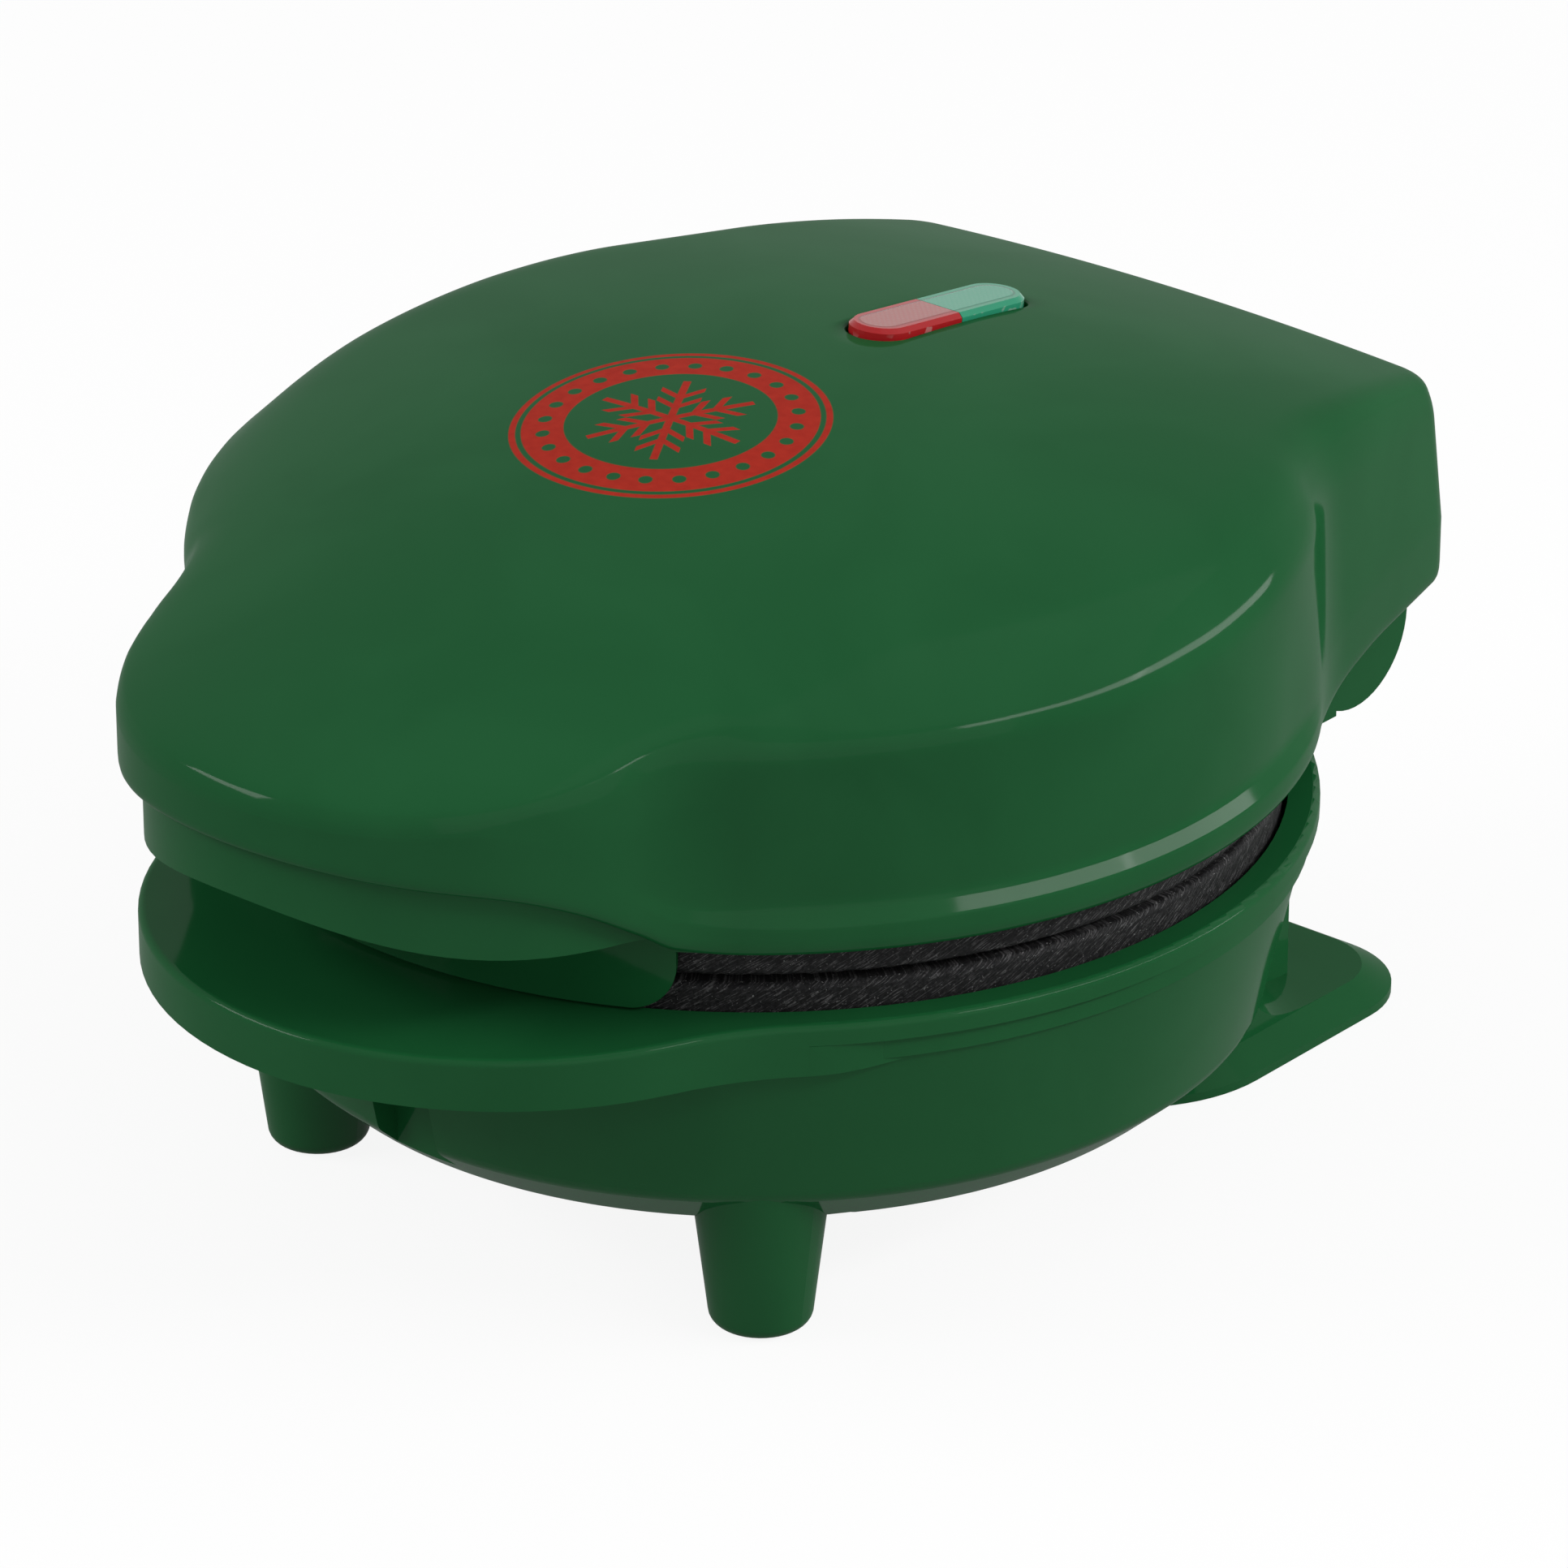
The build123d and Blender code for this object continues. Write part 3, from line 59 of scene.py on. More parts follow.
# Sizes taken from the CAD's boxes, in millimetres; AXIS_Y is the round body's middle
PLATE_LOW, PLATE_HIGH = node_box("lower_plate")
AXIS_Y = (PLATE_LOW[1] + PLATE_HIGH[1]) / 2
LID_LOW, LID_HIGH = node_box("lid_shell")
FRONT = AXIS_Y - LID_LOW[1]
REAR = LID_HIGH[1] - AXIS_Y
BODY_R = LID_HIGH[0]
PLATE_R = PLATE_HIGH[0]
LENS_LIP = 1.5
WINDOW_GAP = 0.25
LENS_LOW, LENS_HIGH = node_box("lens_red")
PILL_W = LENS_HIGH[0] - LENS_LOW[0] - 2 * LENS_LIP + 2 * WINDOW_GAP

# Sizes of the lid's outline, dome and window, in millimetres; y is from the round body's middle
HANDLE_R = 34.0
HANDLE_BLEND = 18.0
BLOCK_HW = 38.1
BLOCK_TAPER = 0.267
BLOCK_BLEND = 38.0
CORNER_R = 7.0
CROWN_Z = 86.4
CROWN_Y = 4.0
DOME_LEN = 420.0
DOME_CROSS = 0.0026
DOME_FADE = 75.0
PILL_LEN = 26.0 + 2 * WINDOW_GAP
PILL_Y = 30.5

# Camera; the focal length and the picture's width are in pixels, the sensor in millimetres
AZIMUTH = math.radians(40.5)
ELEVATION = math.radians(25.2)
DISTANCE = 906.0
TARGET = Vector((3.1, 1.4 + AXIS_Y, 39.7))
FOCAL_PX = 10362.0
PHOTO_PX = 1932.0
SENSOR = 36.0
back = Vector(
    (
        math.sin(AZIMUTH) * math.cos(ELEVATION),
        -math.cos(AZIMUTH) * math.cos(ELEVATION),
        math.sin(ELEVATION),
    )
)
camera_data = bpy.data.cameras.new("camera")
camera_data.sensor_width = SENSOR
camera_data.lens = FOCAL_PX / PHOTO_PX * SENSOR
camera_data.clip_start = 0.05
camera_data.clip_end = 20.0
camera = bpy.data.objects.new("camera", camera_data)
bpy.context.scene.collection.objects.link(camera)
camera.location = (TARGET + back * DISTANCE) * MM
camera.rotation_mode = "QUATERNION"
camera.rotation_quaternion = (-back).to_track_quat("-Z", "Y")
bpy.context.scene.camera = camera
bpy.context.scene.view_settings.view_transform = "Standard"


# Shader maths
class Wire:
    """A shader socket with the operators used below; each one adds a Math node."""

    def __init__(self, tree, socket):
        self.tree = tree
        self.socket = socket

    def math(self, operation, *others):
        return Graph.link(self.tree, "ShaderNodeMath", {"operation": operation}, (self, *others))

    def __add__(self, other):
        return self.math("ADD", other)

    def __sub__(self, other):
        return self.math("SUBTRACT", other)

    def __mul__(self, other):
        return self.math("MULTIPLY", other)

    def __pow__(self, other):
        return self.math("POWER", other)

    __radd__ = __add__
    __rmul__ = __mul__

    def __rsub__(self, other):
        return Graph.link(self.tree, "ShaderNodeMath", {"operation": "SUBTRACT"}, (other, self))

    def smooth(self, low, high):
        """0 below low, 1 above high, with an eased ramp between."""
        node = {"interpolation_type": "SMOOTHSTEP"}
        return Graph.link(self.tree, "ShaderNodeMapRange", node, (self, low, high, 0.0, 1.0))

    def ripple(self, turn):
        """Wave between 0 and 1 that turns by so many radians per millimetre."""
        return (self * turn).math("SINE") * 0.5 + 0.5


class Graph:
    """Node tree of one material."""

    def __init__(self, name):
        self.material = bpy.data.materials.new(name)
        self.material.use_nodes = True
        self.tree = self.material.node_tree
        self.tree.nodes.clear()

    @staticmethod
    def link(tree, kind, settings, values, output=0):
        """Adds a node with its settings, feeds its sockets by place or name, gives one output."""
        node = tree.nodes.new(kind)
        for key, value in settings.items():
            setattr(node, key, value)
        pairs = values.items() if isinstance(values, dict) else enumerate(values)
        for key, value in pairs:
            if isinstance(value, Wire):
                tree.links.new(value.socket, node.inputs[key])
            else:
                node.inputs[key].default_value = value
        return Wire(tree, node.outputs[output]) if len(node.outputs) else None

    def node(self, kind, settings=None, values=(), output=0):
        return Graph.link(self.tree, kind, settings or {}, values, output)

    def place(self):
        """Object coordinates in millimetres."""
        coords = self.node("ShaderNodeTexCoord", output="Object")
        values = {0: coords, "Scale": 1 / MM}
        return self.node("ShaderNodeVectorMath", {"operation": "SCALE"}, values)

    def parts(self, vector):
        """The x, y and z of a vector."""
        return [self.node("ShaderNodeSeparateXYZ", None, (vector,), axis) for axis in range(3)]

    def noise(self, vector, scale, detail=2.0, rough=0.5, distortion=0.0):
        """Noise between 0 and 1; its scale is in waves per millimetre."""
        values = {
            "Vector": vector,
            "Scale": scale,
            "Detail": detail,
            "Roughness": rough,
            "Distortion": distortion,
        }
        return self.node("ShaderNodeTexNoise", None, values, "Fac")

    def stretch(self, vector, factors):
        values = {0: vector, 1: factors}
        return self.node("ShaderNodeVectorMath", {"operation": "MULTIPLY"}, values)

    def mix(self, factor, low, high):
        """Mix of two colours."""
        values = {0: factor, 6: low, 7: high}
        return self.node("ShaderNodeMix", {"data_type": "RGBA"}, values, 2)

    def bump(self, height, depth):
        """Surface direction over a height from 0 to 1, whose full depth is in millimetres."""
        values = {"Strength": 1.0, "Distance": depth * MM, "Height": height}
        return self.node("ShaderNodeBump", None, values)

    def surface(self, **values):
        """Principled shader with the given sockets, wired to the output."""
        named = {key.replace("_", " "): value for key, value in values.items()}
        shader = self.node("ShaderNodeBsdfPrincipled", None, named)
        self.node("ShaderNodeOutputMaterial", None, {"Surface": shader})
        return self.material


def srgb(red, green, blue):
    """Linear colour of an sRGB value given from 0 to 255."""
    share = np.array((red, green, blue)) / 255.0
    linear = np.where(share <= 0.04045, share / 12.92, ((share + 0.055) / 1.055) ** 2.4)
    return (*linear.tolist(), 1.0)


# Glossy plastic: weight and roughness of its clear skin, its own roughness, the depth of its
# moulded waves in millimetres, and how much of that depth the print stands proud
COAT = 0.15
COAT_ROUGH = 0.09
GLOSS_ROUGH = 0.3
WAVE_DEPTH = 0.035
INK_RISE = 0.5


def gloss_plastic(name, low, high, printed=False):
    """Glossy moulded plastic: faint flow marks in the colour under a thin clear skin."""
    g = Graph(name)
    p = g.place()
    flow = g.noise(p, 0.035, detail=3.0, rough=0.55, distortion=0.6)
    speck = g.noise(p, 2.6)
    colour = g.mix(flow.smooth(0.3, 0.7), low, high)
    rough = GLOSS_ROUGH + 0.05 * flow + 0.05 * speck
    skin = COAT * (0.9 + 0.2 * flow)
    wave = g.noise(p, 0.14, detail=1.0) + 0.06 * g.noise(p, 1.1)
    if printed:
        mask = badge(g, p)
        ink = g.mix(g.noise(p, 0.9, detail=3.0), srgb(150, 36, 26), srgb(176, 48, 34))
        colour = g.mix(mask, colour, ink)
        rough = rough + 0.25 * mask
        skin = skin * (1 - 0.5 * mask)
        wave = wave + INK_RISE * mask
    return g.surface(
        Base_Color=colour,
        Roughness=rough,
        Normal=g.bump(wave, WAVE_DEPTH),
        Specular_IOR_Level=0.0,
        Coat_Weight=skin,
        Coat_Roughness=COAT_ROUGH,
    )


# Badge on the lid, in millimetres: its place and radius and the softness of the ink's edge; its
# hoop; its band, from a share of the radius to a gap inside the edge; the dots left out of the
# band, on a circle at a share of the radius; and the snowflake inside, whose strokes have a half
# width, and whose twigs start at their roots and lean out by a slope
BADGE_X = -0.7
BADGE_Y = -12.4 + AXIS_Y
BADGE_R = 17.0
INK_EDGE = 0.09
HOOP_W = 0.7
BAND_IN = 0.66
BAND_GAP = 1.3
DOTS = 24
DOT_R = 0.75
DOT_CIRCLE = 0.79
ARMS = 6
ARM_LEN = 9.2
STROKE_HW = 0.42
TWIG_ROOTS = (2.6, 5.0)
TWIG_SLOPE = 0.9
TWIG_REACH = 2.3
FLAKE_FADE = (10.2, 10.4)


def badge(g, p):
    """Red ring badge on the lid: an outer hoop, a broad band with dots, and a snowflake inside."""
    x, y, _z = g.parts(p)
    x = x - BADGE_X
    y = y - BADGE_Y
    r = (x * x + y * y) ** 0.5
    angle = y.math("ARCTAN2", x)

    def within(value, limit):
        """1 under a limit and 0 over it, with the ink's soft edge between."""
        return 1 - value.smooth(limit - INK_EDGE, limit + INK_EDGE)

    def ring(inner, outer):
        return r.smooth(inner - INK_EDGE, inner + INK_EDGE) * within(r, outer)

    def fold(count):
        """Angle from the nearest of count even spokes."""
        return (angle + 2 * math.pi).math("PINGPONG", math.pi / count)

    hoop = ring(BADGE_R - HOOP_W, BADGE_R)
    band = ring(BADGE_R * BAND_IN, BADGE_R - BAND_GAP)
    across = r * fold(DOTS)
    along = r - BADGE_R * DOT_CIRCLE
    dot = within((across * across + along * along) ** 0.5, DOT_R)
    arm = fold(ARMS)
    side = arm.math("SINE") * r
    up = arm.math("COSINE") * r
    flake = within(side, STROKE_HW) * (1 - up.smooth(ARM_LEN, ARM_LEN + INK_EDGE))
    for root in TWIG_ROOTS:
        lean = (up - root - side * TWIG_SLOPE).math("ABSOLUTE")
        twig = 1 - lean.smooth(STROKE_HW, STROKE_HW + 2 * INK_EDGE)
        flake = flake.math("MAXIMUM", twig * (1 - side.smooth(TWIG_REACH, TWIG_REACH + INK_EDGE)))
    total = hoop + band * (1 - dot) + flake * (1 - r.smooth(*FLAKE_FADE))
    return total.math("MINIMUM", 1.0)


GREEN_LOW = srgb(23, 83, 44)
GREEN_HIGH = srgb(26, 87, 47)
green = gloss_plastic("green_gloss", GREEN_LOW, GREEN_HIGH)
green_print = gloss_plastic("green_printed", GREEN_LOW, GREEN_HIGH, printed=True)


# Coated plates: how far the strokes lean as they rise, and their waves per millimetre across
# them, along them and over x
STROKE_LEAN = 1.6
STROKE_WAVES = (4.2, 0.3, 0.02)


def coated_plate():
    """Dark non-stick coat on a casting: fine light strokes aslant round its edge, a few specks."""
    g = Graph("coated_plate")
    p = g.place()
    x, y, z = g.parts(p)
    run = (y - AXIS_Y).math("ARCTAN2", x) * PLATE_R
    ways = (run - z * STROKE_LEAN, run + z * STROKE_LEAN, x)
    wrap = [way * waves for way, waves in zip(ways, STROKE_WAVES)]
    lines = g.noise(g.node("ShaderNodeCombineXYZ", None, wrap), 1.0, rough=0.6)
    cast = g.noise(p, 3.2, detail=3.0, rough=0.65)
    speck = g.noise(p, 4.6, detail=1.0).smooth(0.7, 0.76)
    scratch = lines.smooth(0.52, 0.66)
    colour = g.mix(cast.smooth(0.35, 0.7), srgb(18, 18, 19), srgb(36, 36, 37))
    colour = g.mix(scratch * 0.7 * cast.smooth(0.3, 0.55), colour, srgb(104, 103, 104))
    colour = g.mix(speck * 0.7, colour, srgb(150, 150, 150))
    normal = g.bump(lines * 0.7 + cast * 0.5, 0.18)
    return g.surface(
        Base_Color=colour, Roughness=0.45 + 0.2 * cast, Normal=normal, Specular_IOR_Level=0.12
    )


# How bright the stains of a metal are, as a share of its tone
STAIN_SHARE = 0.86


def metal(name, tone, rough, lines=(0.4, 0.4, 6.0)):
    """Drawn or turned metal with fine lines, given as waves per millimetre along x, y and z."""
    g = Graph(name)
    p = g.place()
    draw = g.noise(g.stretch(p, lines), 1.0, rough=0.6)
    stain = g.noise(p, 0.12)
    colour = g.mix(stain, srgb(*[STAIN_SHARE * v for v in tone]), srgb(*tone))
    normal = g.bump(draw, 0.03)
    return g.surface(Base_Color=colour, Roughness=rough + 0.15 * draw, Metallic=1.0, Normal=normal)


def matte_plastic(name, low, high, rough):
    """Plain moulded plastic with a fine grain."""
    g = Graph(name)
    p = g.place()
    grain = g.noise(p, 3.4, detail=3.0, rough=0.6)
    colour = g.mix(grain, low, high)
    return g.surface(Base_Color=colour, Roughness=rough + 0.15 * grain, Normal=g.bump(grain, 0.05))


# Window, in millimetres in from its edge: where its ribbed face starts, half the softness of
# that line, and the painted shade of a groove outside it; and the ribs' turn in radians per
# millimetre
LENS_FACE = 1.55
FACE_SOFT = 0.12
GROOVE_SHADE_FROM = 0.4
GROOVE_SHADE_FULL = 0.1
RIB_TURN = 8.5


def tinted_lens(name, rim, face):
    """Tinted clear plastic: a finely ribbed inner face shows through, inside a deeper toned rim;
    a groove's shade is painted round the face, and a few pale glints are painted as highlights
    where the clear edge gathers light."""
    g = Graph(name)
    p = g.place()
    x, y, _z = g.parts(p)
    off_middle = (y - AXIS_Y - PILL_Y).math("ABSOLUTE")
    past = (off_middle - (PILL_LEN - PILL_W) / 2).math("MAXIMUM", 0.0)
    reach = (x * x + past * past) ** 0.5
    inset = PILL_W / 2 - reach
    inner = inset.smooth(LENS_FACE - FACE_SOFT, LENS_FACE + FACE_SOFT)
    # Painted shade: a dark band just outside the ribbed face stands in for a groove's shadow
    painted_groove_shade = (1 - inner) * inset.smooth(LENS_FACE - GROOVE_SHADE_FROM, LENS_FACE - GROOVE_SHADE_FULL)
    ribs = (x + y).ripple(RIB_TURN)
    cross = (x - y).ripple(RIB_TURN)
    tone = inner * (0.78 + 0.22 * ribs * cross)
    # Painted highlight: pale glints near the edge stand in for light that the clear edge gathers
    painted_glint = g.noise(p, 0.7, detail=1.0).smooth(0.56, 0.62) * (1 - inset.smooth(0.05, 0.35))
    colour = g.mix(tone, rim, face)
    colour = g.mix(painted_groove_shade * 0.45, colour, srgb(24, 40, 34))
    colour = g.mix(painted_glint * 0.8, colour, srgb(238, 226, 220))
    return g.surface(
        Base_Color=colour,
        Roughness=0.16 + 0.06 * tone,
        Normal=g.bump(tone, 0.05),
        Transmission_Weight=0.12,
        IOR=1.49,
        Specular_IOR_Level=0.1,
        Coat_Weight=0.12,
        Coat_Roughness=0.06,
    )


# Weave of the wires' sleeve, in radians per millimetre
WEAVE_TURN = 9.0


def lead_sleeve():
    """Woven glass sleeve of the wires."""
    g = Graph("lead_sleeve")
    p = g.place()
    x, y, z = g.parts(p)
    weave = (x + y + z).ripple(WEAVE_TURN)
    colour = g.mix(weave, srgb(196, 190, 176), srgb(232, 228, 214))
    return g.surface(Base_Color=colour, Roughness=0.7 + 0.1 * weave, Normal=g.bump(weave, 0.08))


def lamp_glass():
    """Clear lamp glass with a warm, patchy cast."""
    g = Graph("lamp_glass")
    p = g.place()
    haze = g.noise(p, 0.8)
    colour = g.mix(haze, srgb(236, 214, 190), srgb(250, 240, 226))
    return g.surface(
        Base_Color=colour, Roughness=0.05 + 0.1 * haze, Transmission_Weight=0.85, IOR=1.45
    )


# Finish of each material slot in the record, and of every CAD node by its slot
FINISHES = {
    "green_body": green,
    "plate": coated_plate(),
    "steel": metal("steel", (176, 176, 178), 0.28),
    "zinc": metal("aluminised_sheet", (196, 198, 200), 0.34, (1.0, 1.0, 1.0)),
    "black_plastic": matte_plastic("black_plastic", srgb(22, 22, 23), srgb(34, 34, 35), 0.42),
    "white_plastic": matte_plastic("white_plastic", srgb(214, 210, 200), srgb(228, 225, 216), 0.4),
    "lead": lead_sleeve(),
    "lamp": lamp_glass(),
    "lens_red": tinted_lens("lens_red", srgb(176, 32, 36), srgb(168, 108, 104)),
    "lens_green": tinted_lens("lens_green", srgb(48, 152, 116), srgb(82, 162, 134)),
}
SLOT_OF = {row["node"]: row["material_slot"] for row in frame["record"]["subparts"]}
for name, node in NODES.items():
    if not node.material_slots:
        node.data.materials.append(FINISHES[SLOT_OF[name]])
    for place in node.material_slots:
        place.material = FINISHES[SLOT_OF[name]]


# Lid cover: plan outline of tangent arcs, and a profile carried round it
def arc(centre, radius, start, end, side, step):
    """Points on a circle between two angles; side 1 faces out from its centre, -1 towards it."""
    count = max(4, int(abs(end - start) * radius / step))
    turn = np.linspace(start, end, count, endpoint=False)
    ray = np.stack((np.cos(turn), np.sin(turn)), 1)
    return np.asarray(centre) + radius * ray, side * ray


def line(start, end, normal, step):
    """Points on a straight run, with one outward direction."""
    start, end = np.asarray(start), np.asarray(end)
    count = max(3, int(np.linalg.norm(end - start) / step))
    share = np.linspace(0, 1, count, endpoint=False)[:, None]
    return start + (end - start) * share, np.tile(normal, (count, 1))


def angle_to(start, end):
    """Direction from one point to another, from 0 to a full turn."""
    return math.atan2(end[1] - start[1], end[0] - start[0]) % (2 * math.pi)


def blend_centre(radius, reach, blend):
    """Centre of the concave arc between the round body and a front tongue of a radius and reach:
    where circles about the body's middle and the tongue's middle, both widened by blend, cross."""
    middle = reach - radius
    to_body, to_tongue = BODY_R + blend, radius + blend
    y = -(middle**2 + to_body**2 - to_tongue**2) / (2 * middle)
    return np.array((math.sqrt(to_body**2 - y**2), y))


def lid_plan(step):
    """Right half of the lid's outline from the handle's tip to the rear: handle circle, concave
    arc, body circle, concave arc, tapered side, corner arc and rear line, all tangent."""
    handle = np.array((0, HANDLE_R - FRONT))
    body = np.zeros(2)
    front = blend_centre(HANDLE_R, FRONT, HANDLE_BLEND)
    slope = math.hypot(1, BLOCK_TAPER)
    normal = np.array((1, BLOCK_TAPER)) / slope
    along = np.array((-BLOCK_TAPER, 1)) / slope
    offset = normal @ (BLOCK_HW, REAR)
    reach = BLOCK_BLEND + offset
    rear = normal * reach + along * math.sqrt((BODY_R + BLOCK_BLEND) ** 2 - reach**2)
    corner_y = REAR - CORNER_R
    corner = np.array(((offset - CORNER_R - normal[1] * corner_y) / normal[0], corner_y))
    lean = math.atan2(normal[1], normal[0])
    handle_end = angle_to(handle, front)
    if handle_end > math.pi:
        handle_end -= 2 * math.pi
    runs = [
        arc(handle, HANDLE_R, -math.pi / 2, handle_end, 1, step),
        arc(front, HANDLE_BLEND, angle_to(front, handle), angle_to(front, body), -1, step),
        arc(body, BODY_R, angle_to(body, front) - 2 * math.pi, angle_to(body, rear), 1, step),
        arc(rear, BLOCK_BLEND, angle_to(rear, body), lean + math.pi, -1, step),
        line(rear - normal * BLOCK_BLEND, corner + normal * CORNER_R, normal, step),
        arc(corner, CORNER_R, lean, math.pi / 2, 1, step / 2),
        line((corner[0], REAR), (0, REAR), (0, 1), step),
    ]
    end = (np.array([[0, REAR]]), np.array([[0, 1.0]]))
    points = np.concatenate([run[0] for run in (*runs, end)])
    out = np.concatenate([run[1] for run in (*runs, end)])
    return points, out


def both_sides(points, out):
    """Closed outline from a right half that starts and ends on the middle plane."""
    flip = np.array((-1, 1))
    left = slice(-2, 0, -1)
    return np.concatenate((points, points[left] * flip)), np.concatenate((out, out[left] * flip))


def dome_z(x, y):
    """Height of the lid's top: bowed along and across, flatter behind."""
    return CROWN_Z - (y - CROWN_Y) ** 2 / DOME_LEN - DOME_CROSS * np.exp(-y / DOME_FADE) * x * x


def eased(y, table):
    """Values over y from a table of (y, value), joined by a cubic with limited slopes."""
    ys, vs = np.array(table).T
    slope = np.diff(vs) / np.diff(ys)
    tangent = np.zeros_like(vs)
    same = slope[1:] * slope[:-1] > 0
    both = np.where(same, slope[1:] + slope[:-1], 1)
    tangent[1:-1] = np.where(same, 2 * slope[1:] * slope[:-1] / both, 0)
    tangent[0], tangent[-1] = slope[0], slope[-1]
    k = np.clip(np.searchsorted(ys, y) - 1, 0, len(ys) - 2)
    h = ys[k + 1] - ys[k]
    t = np.clip((y - ys[k]) / h, 0, 1)
    return (
        (2 * t**3 - 3 * t**2 + 1) * vs[k]
        + (t**3 - 2 * t**2 + t) * h * tangent[k]
        + (3 * t**2 - 2 * t**3) * vs[k + 1]
        + (t**3 - t**2) * h * tangent[k + 1]
    )


def bend(before, corner, after, count):
    """Rows of a rounded corner: a parabola from before to after that leans on the corner."""
    t = np.linspace(0, 1, count)[:, None, None]
    return (1 - t) ** 2 * before + 2 * t * (1 - t) * corner + t**2 * after


def towards(start, end, length):
    """Point at a distance from start on the way to end, for arrays of (inset, height) pairs."""
    way = end - start
    unit = way / np.linalg.norm(way, axis=-1, keepdims=True)
    return start + unit * np.asarray(length)[..., None]


def grid_faces(rows, columns, close_rows=False):
    """Quads of a grid whose columns join round, and whose rows do if asked."""
    r = np.arange(rows if close_rows else rows - 1)[:, None]
    c = np.arange(columns)[None, :]
    a = r * columns + c
    b = r * columns + (c + 1) % columns
    up = ((r + 1) % rows) * columns
    return np.stack((a, b, up + (c + 1) % columns, up + c), -1).reshape(-1, 4)


def piece(name, points, faces, body, material, sharp_deg=None):
    """Mesh object from points in millimetres, riding on a body; smooth, apart from edges that
    turn by more than sharp_deg where it is given."""
    mesh = bpy.data.meshes.new(name)
    mesh.from_pydata((points * MM).tolist(), [], faces)
    mesh.polygons.foreach_set("use_smooth", np.ones(len(mesh.polygons), bool))
    mesh.materials.append(material)
    mesh.update()
    made = bpy.data.objects.new(name, mesh)
    bpy.context.scene.collection.objects.link(made)
    if sharp_deg is not None:
        mesh.set_sharp_from_angle(angle=math.radians(sharp_deg))
    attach(made, body)
    return made


# The lid's section over its length, as (y, value) in millimetres: inset of the shoulder's upper
# edge, inset and height of the crease below it, height of the wall's lower edge, depth of the
# lip as a share, and how far in the dome takes over from the shoulder's rounded edge
EDGE_IN = [(-82, 1.2), (-60, 1.2), (-52, 1.5), (-46, 3.0), (-38.5, 5.0), (-31, 6.0), (-20, 6.2),
           (-7, 6.0), (10, 6.6), (20, 6.2), (32, 4.6), (42, 3.6), (50, 3.0), (63, 2.6),
           (74.4, 2.6)]
CREASE_IN = [(-82, 0.2), (-50, 0.2), (-38, 0.7), (20, 0.7), (32, 0.9), (42, 1.3), (74.4, 1.3)]
CREASE_Z = [(-60, 68.6), (-52, 70.6), (-45, 70.9), (-36, 71.4), (-25, 71.5), (-12, 71.3),
            (2, 72.0), (12, 73.3), (20, 74.4), (28, 74.6), (36, 74.2), (45, 73.8), (55, 73.2),
            (65, 72.2), (74.4, 70.6)]
LOW_Z = [(-82, 62.0), (-78, 61.0), (-69, 59.0), (-63, 56.6), (-55.7, 52.2), (-51.9, 49.6),
         (-47, 48.4), (-42, 48.3), (36, 48.3), (48, 50.2), (56, 50.8), (74.4, 50.8)]
LIP_SHARE = [(-60, 0.0), (-50, 0.35), (-42, 1.0), (20, 1.0), (36, 0.0), (74.4, 0.0)]
TOP_SOFT = [(-82, 3.4), (-50, 3.6), (-35, 4.5), (20, 4.5), (60, 3.0), (74.4, 2.6)]

# Lip section: inset that goes with the lip's share, inset that doesn't, and height over the
# lower edge. Its slope between heights 3.48 and 4.92 catches the long highlight. Where the wall
# is too low for the section's height and a spare, the heights shrink, to a least share
LIP_ROWS = [(1.2, 0.0, 7.1), (1.24, 0.0, 6.6), (1.26, 0.0, 6.1), (1.25, 0.0, 5.6),
            (1.18, 0.0, 5.2), (1.064, 0.0, 4.92), (0.98, 0.0, 4.8), (0.14, 0.0, 3.6),
            (0.056, 0.0, 3.48), (0.01, 0.0, 3.25), (0.0, 0.0, 2.8), (0.0, 0.0, 1.9),
            (0.06, 0.04, 1.1), (0.2, 0.14, 0.55), (0.4, 0.3, 0.2), (0.7, 0.5, 0.03),
            (1.1, 0.6, 0.0), (0.0, 1.9, 0.1), (0.0, 2.0, 0.5)]
LIP_H = 7.1
LIP_SPARE = 0.4
LIP_LEAST = 0.1
WALL = 2.0

# How the lid's corners are rounded: the longest run of the rounding from the shoulder's edge
# and from the crease, each also held to a share of the band between them; the least height of
# that band; and, from a y to the rear, the room left inside the outline's corners
EDGE_SOFT = 3.4
EDGE_SHARE = 0.46
CREASE_SOFT = 2.0
CREASE_SHARE = 0.4
BAND_LEAST = 1.6
CORNERS_FROM = 50
CORNER_SPARE = 0.3
CORNER_SHARE = 0.9
CORNER_LEAST = 0.5

# Inside face: how far it stays in and below at the crease and at the shoulder's edge
INSIDE_CREASE_DROP = 2.0
INSIDE_EDGE_IN = 2.6
INSIDE_EDGE_DROP = 3.2

# Window's slot: width and depth of its softened edge, and a point part of the way down it
SLOT_SOFT = 0.35
SLOT_MID_SHARE = 0.3
SLOT_MID_DROP = 0.1

# Spacing of the lid's columns in millimetres, and counts of its rows. The top's rows lie closer
# together at the window, by a power, and two of them repeat one wall lower
OUTLINE_STEP = 0.75
EDGE_ROWS = 10
CREASE_ROWS = 6
WALL_ROWS = 5
TOP_ROWS = 25
TOP_POWER = 1.1
UNDER_ROWS = [8, 0]


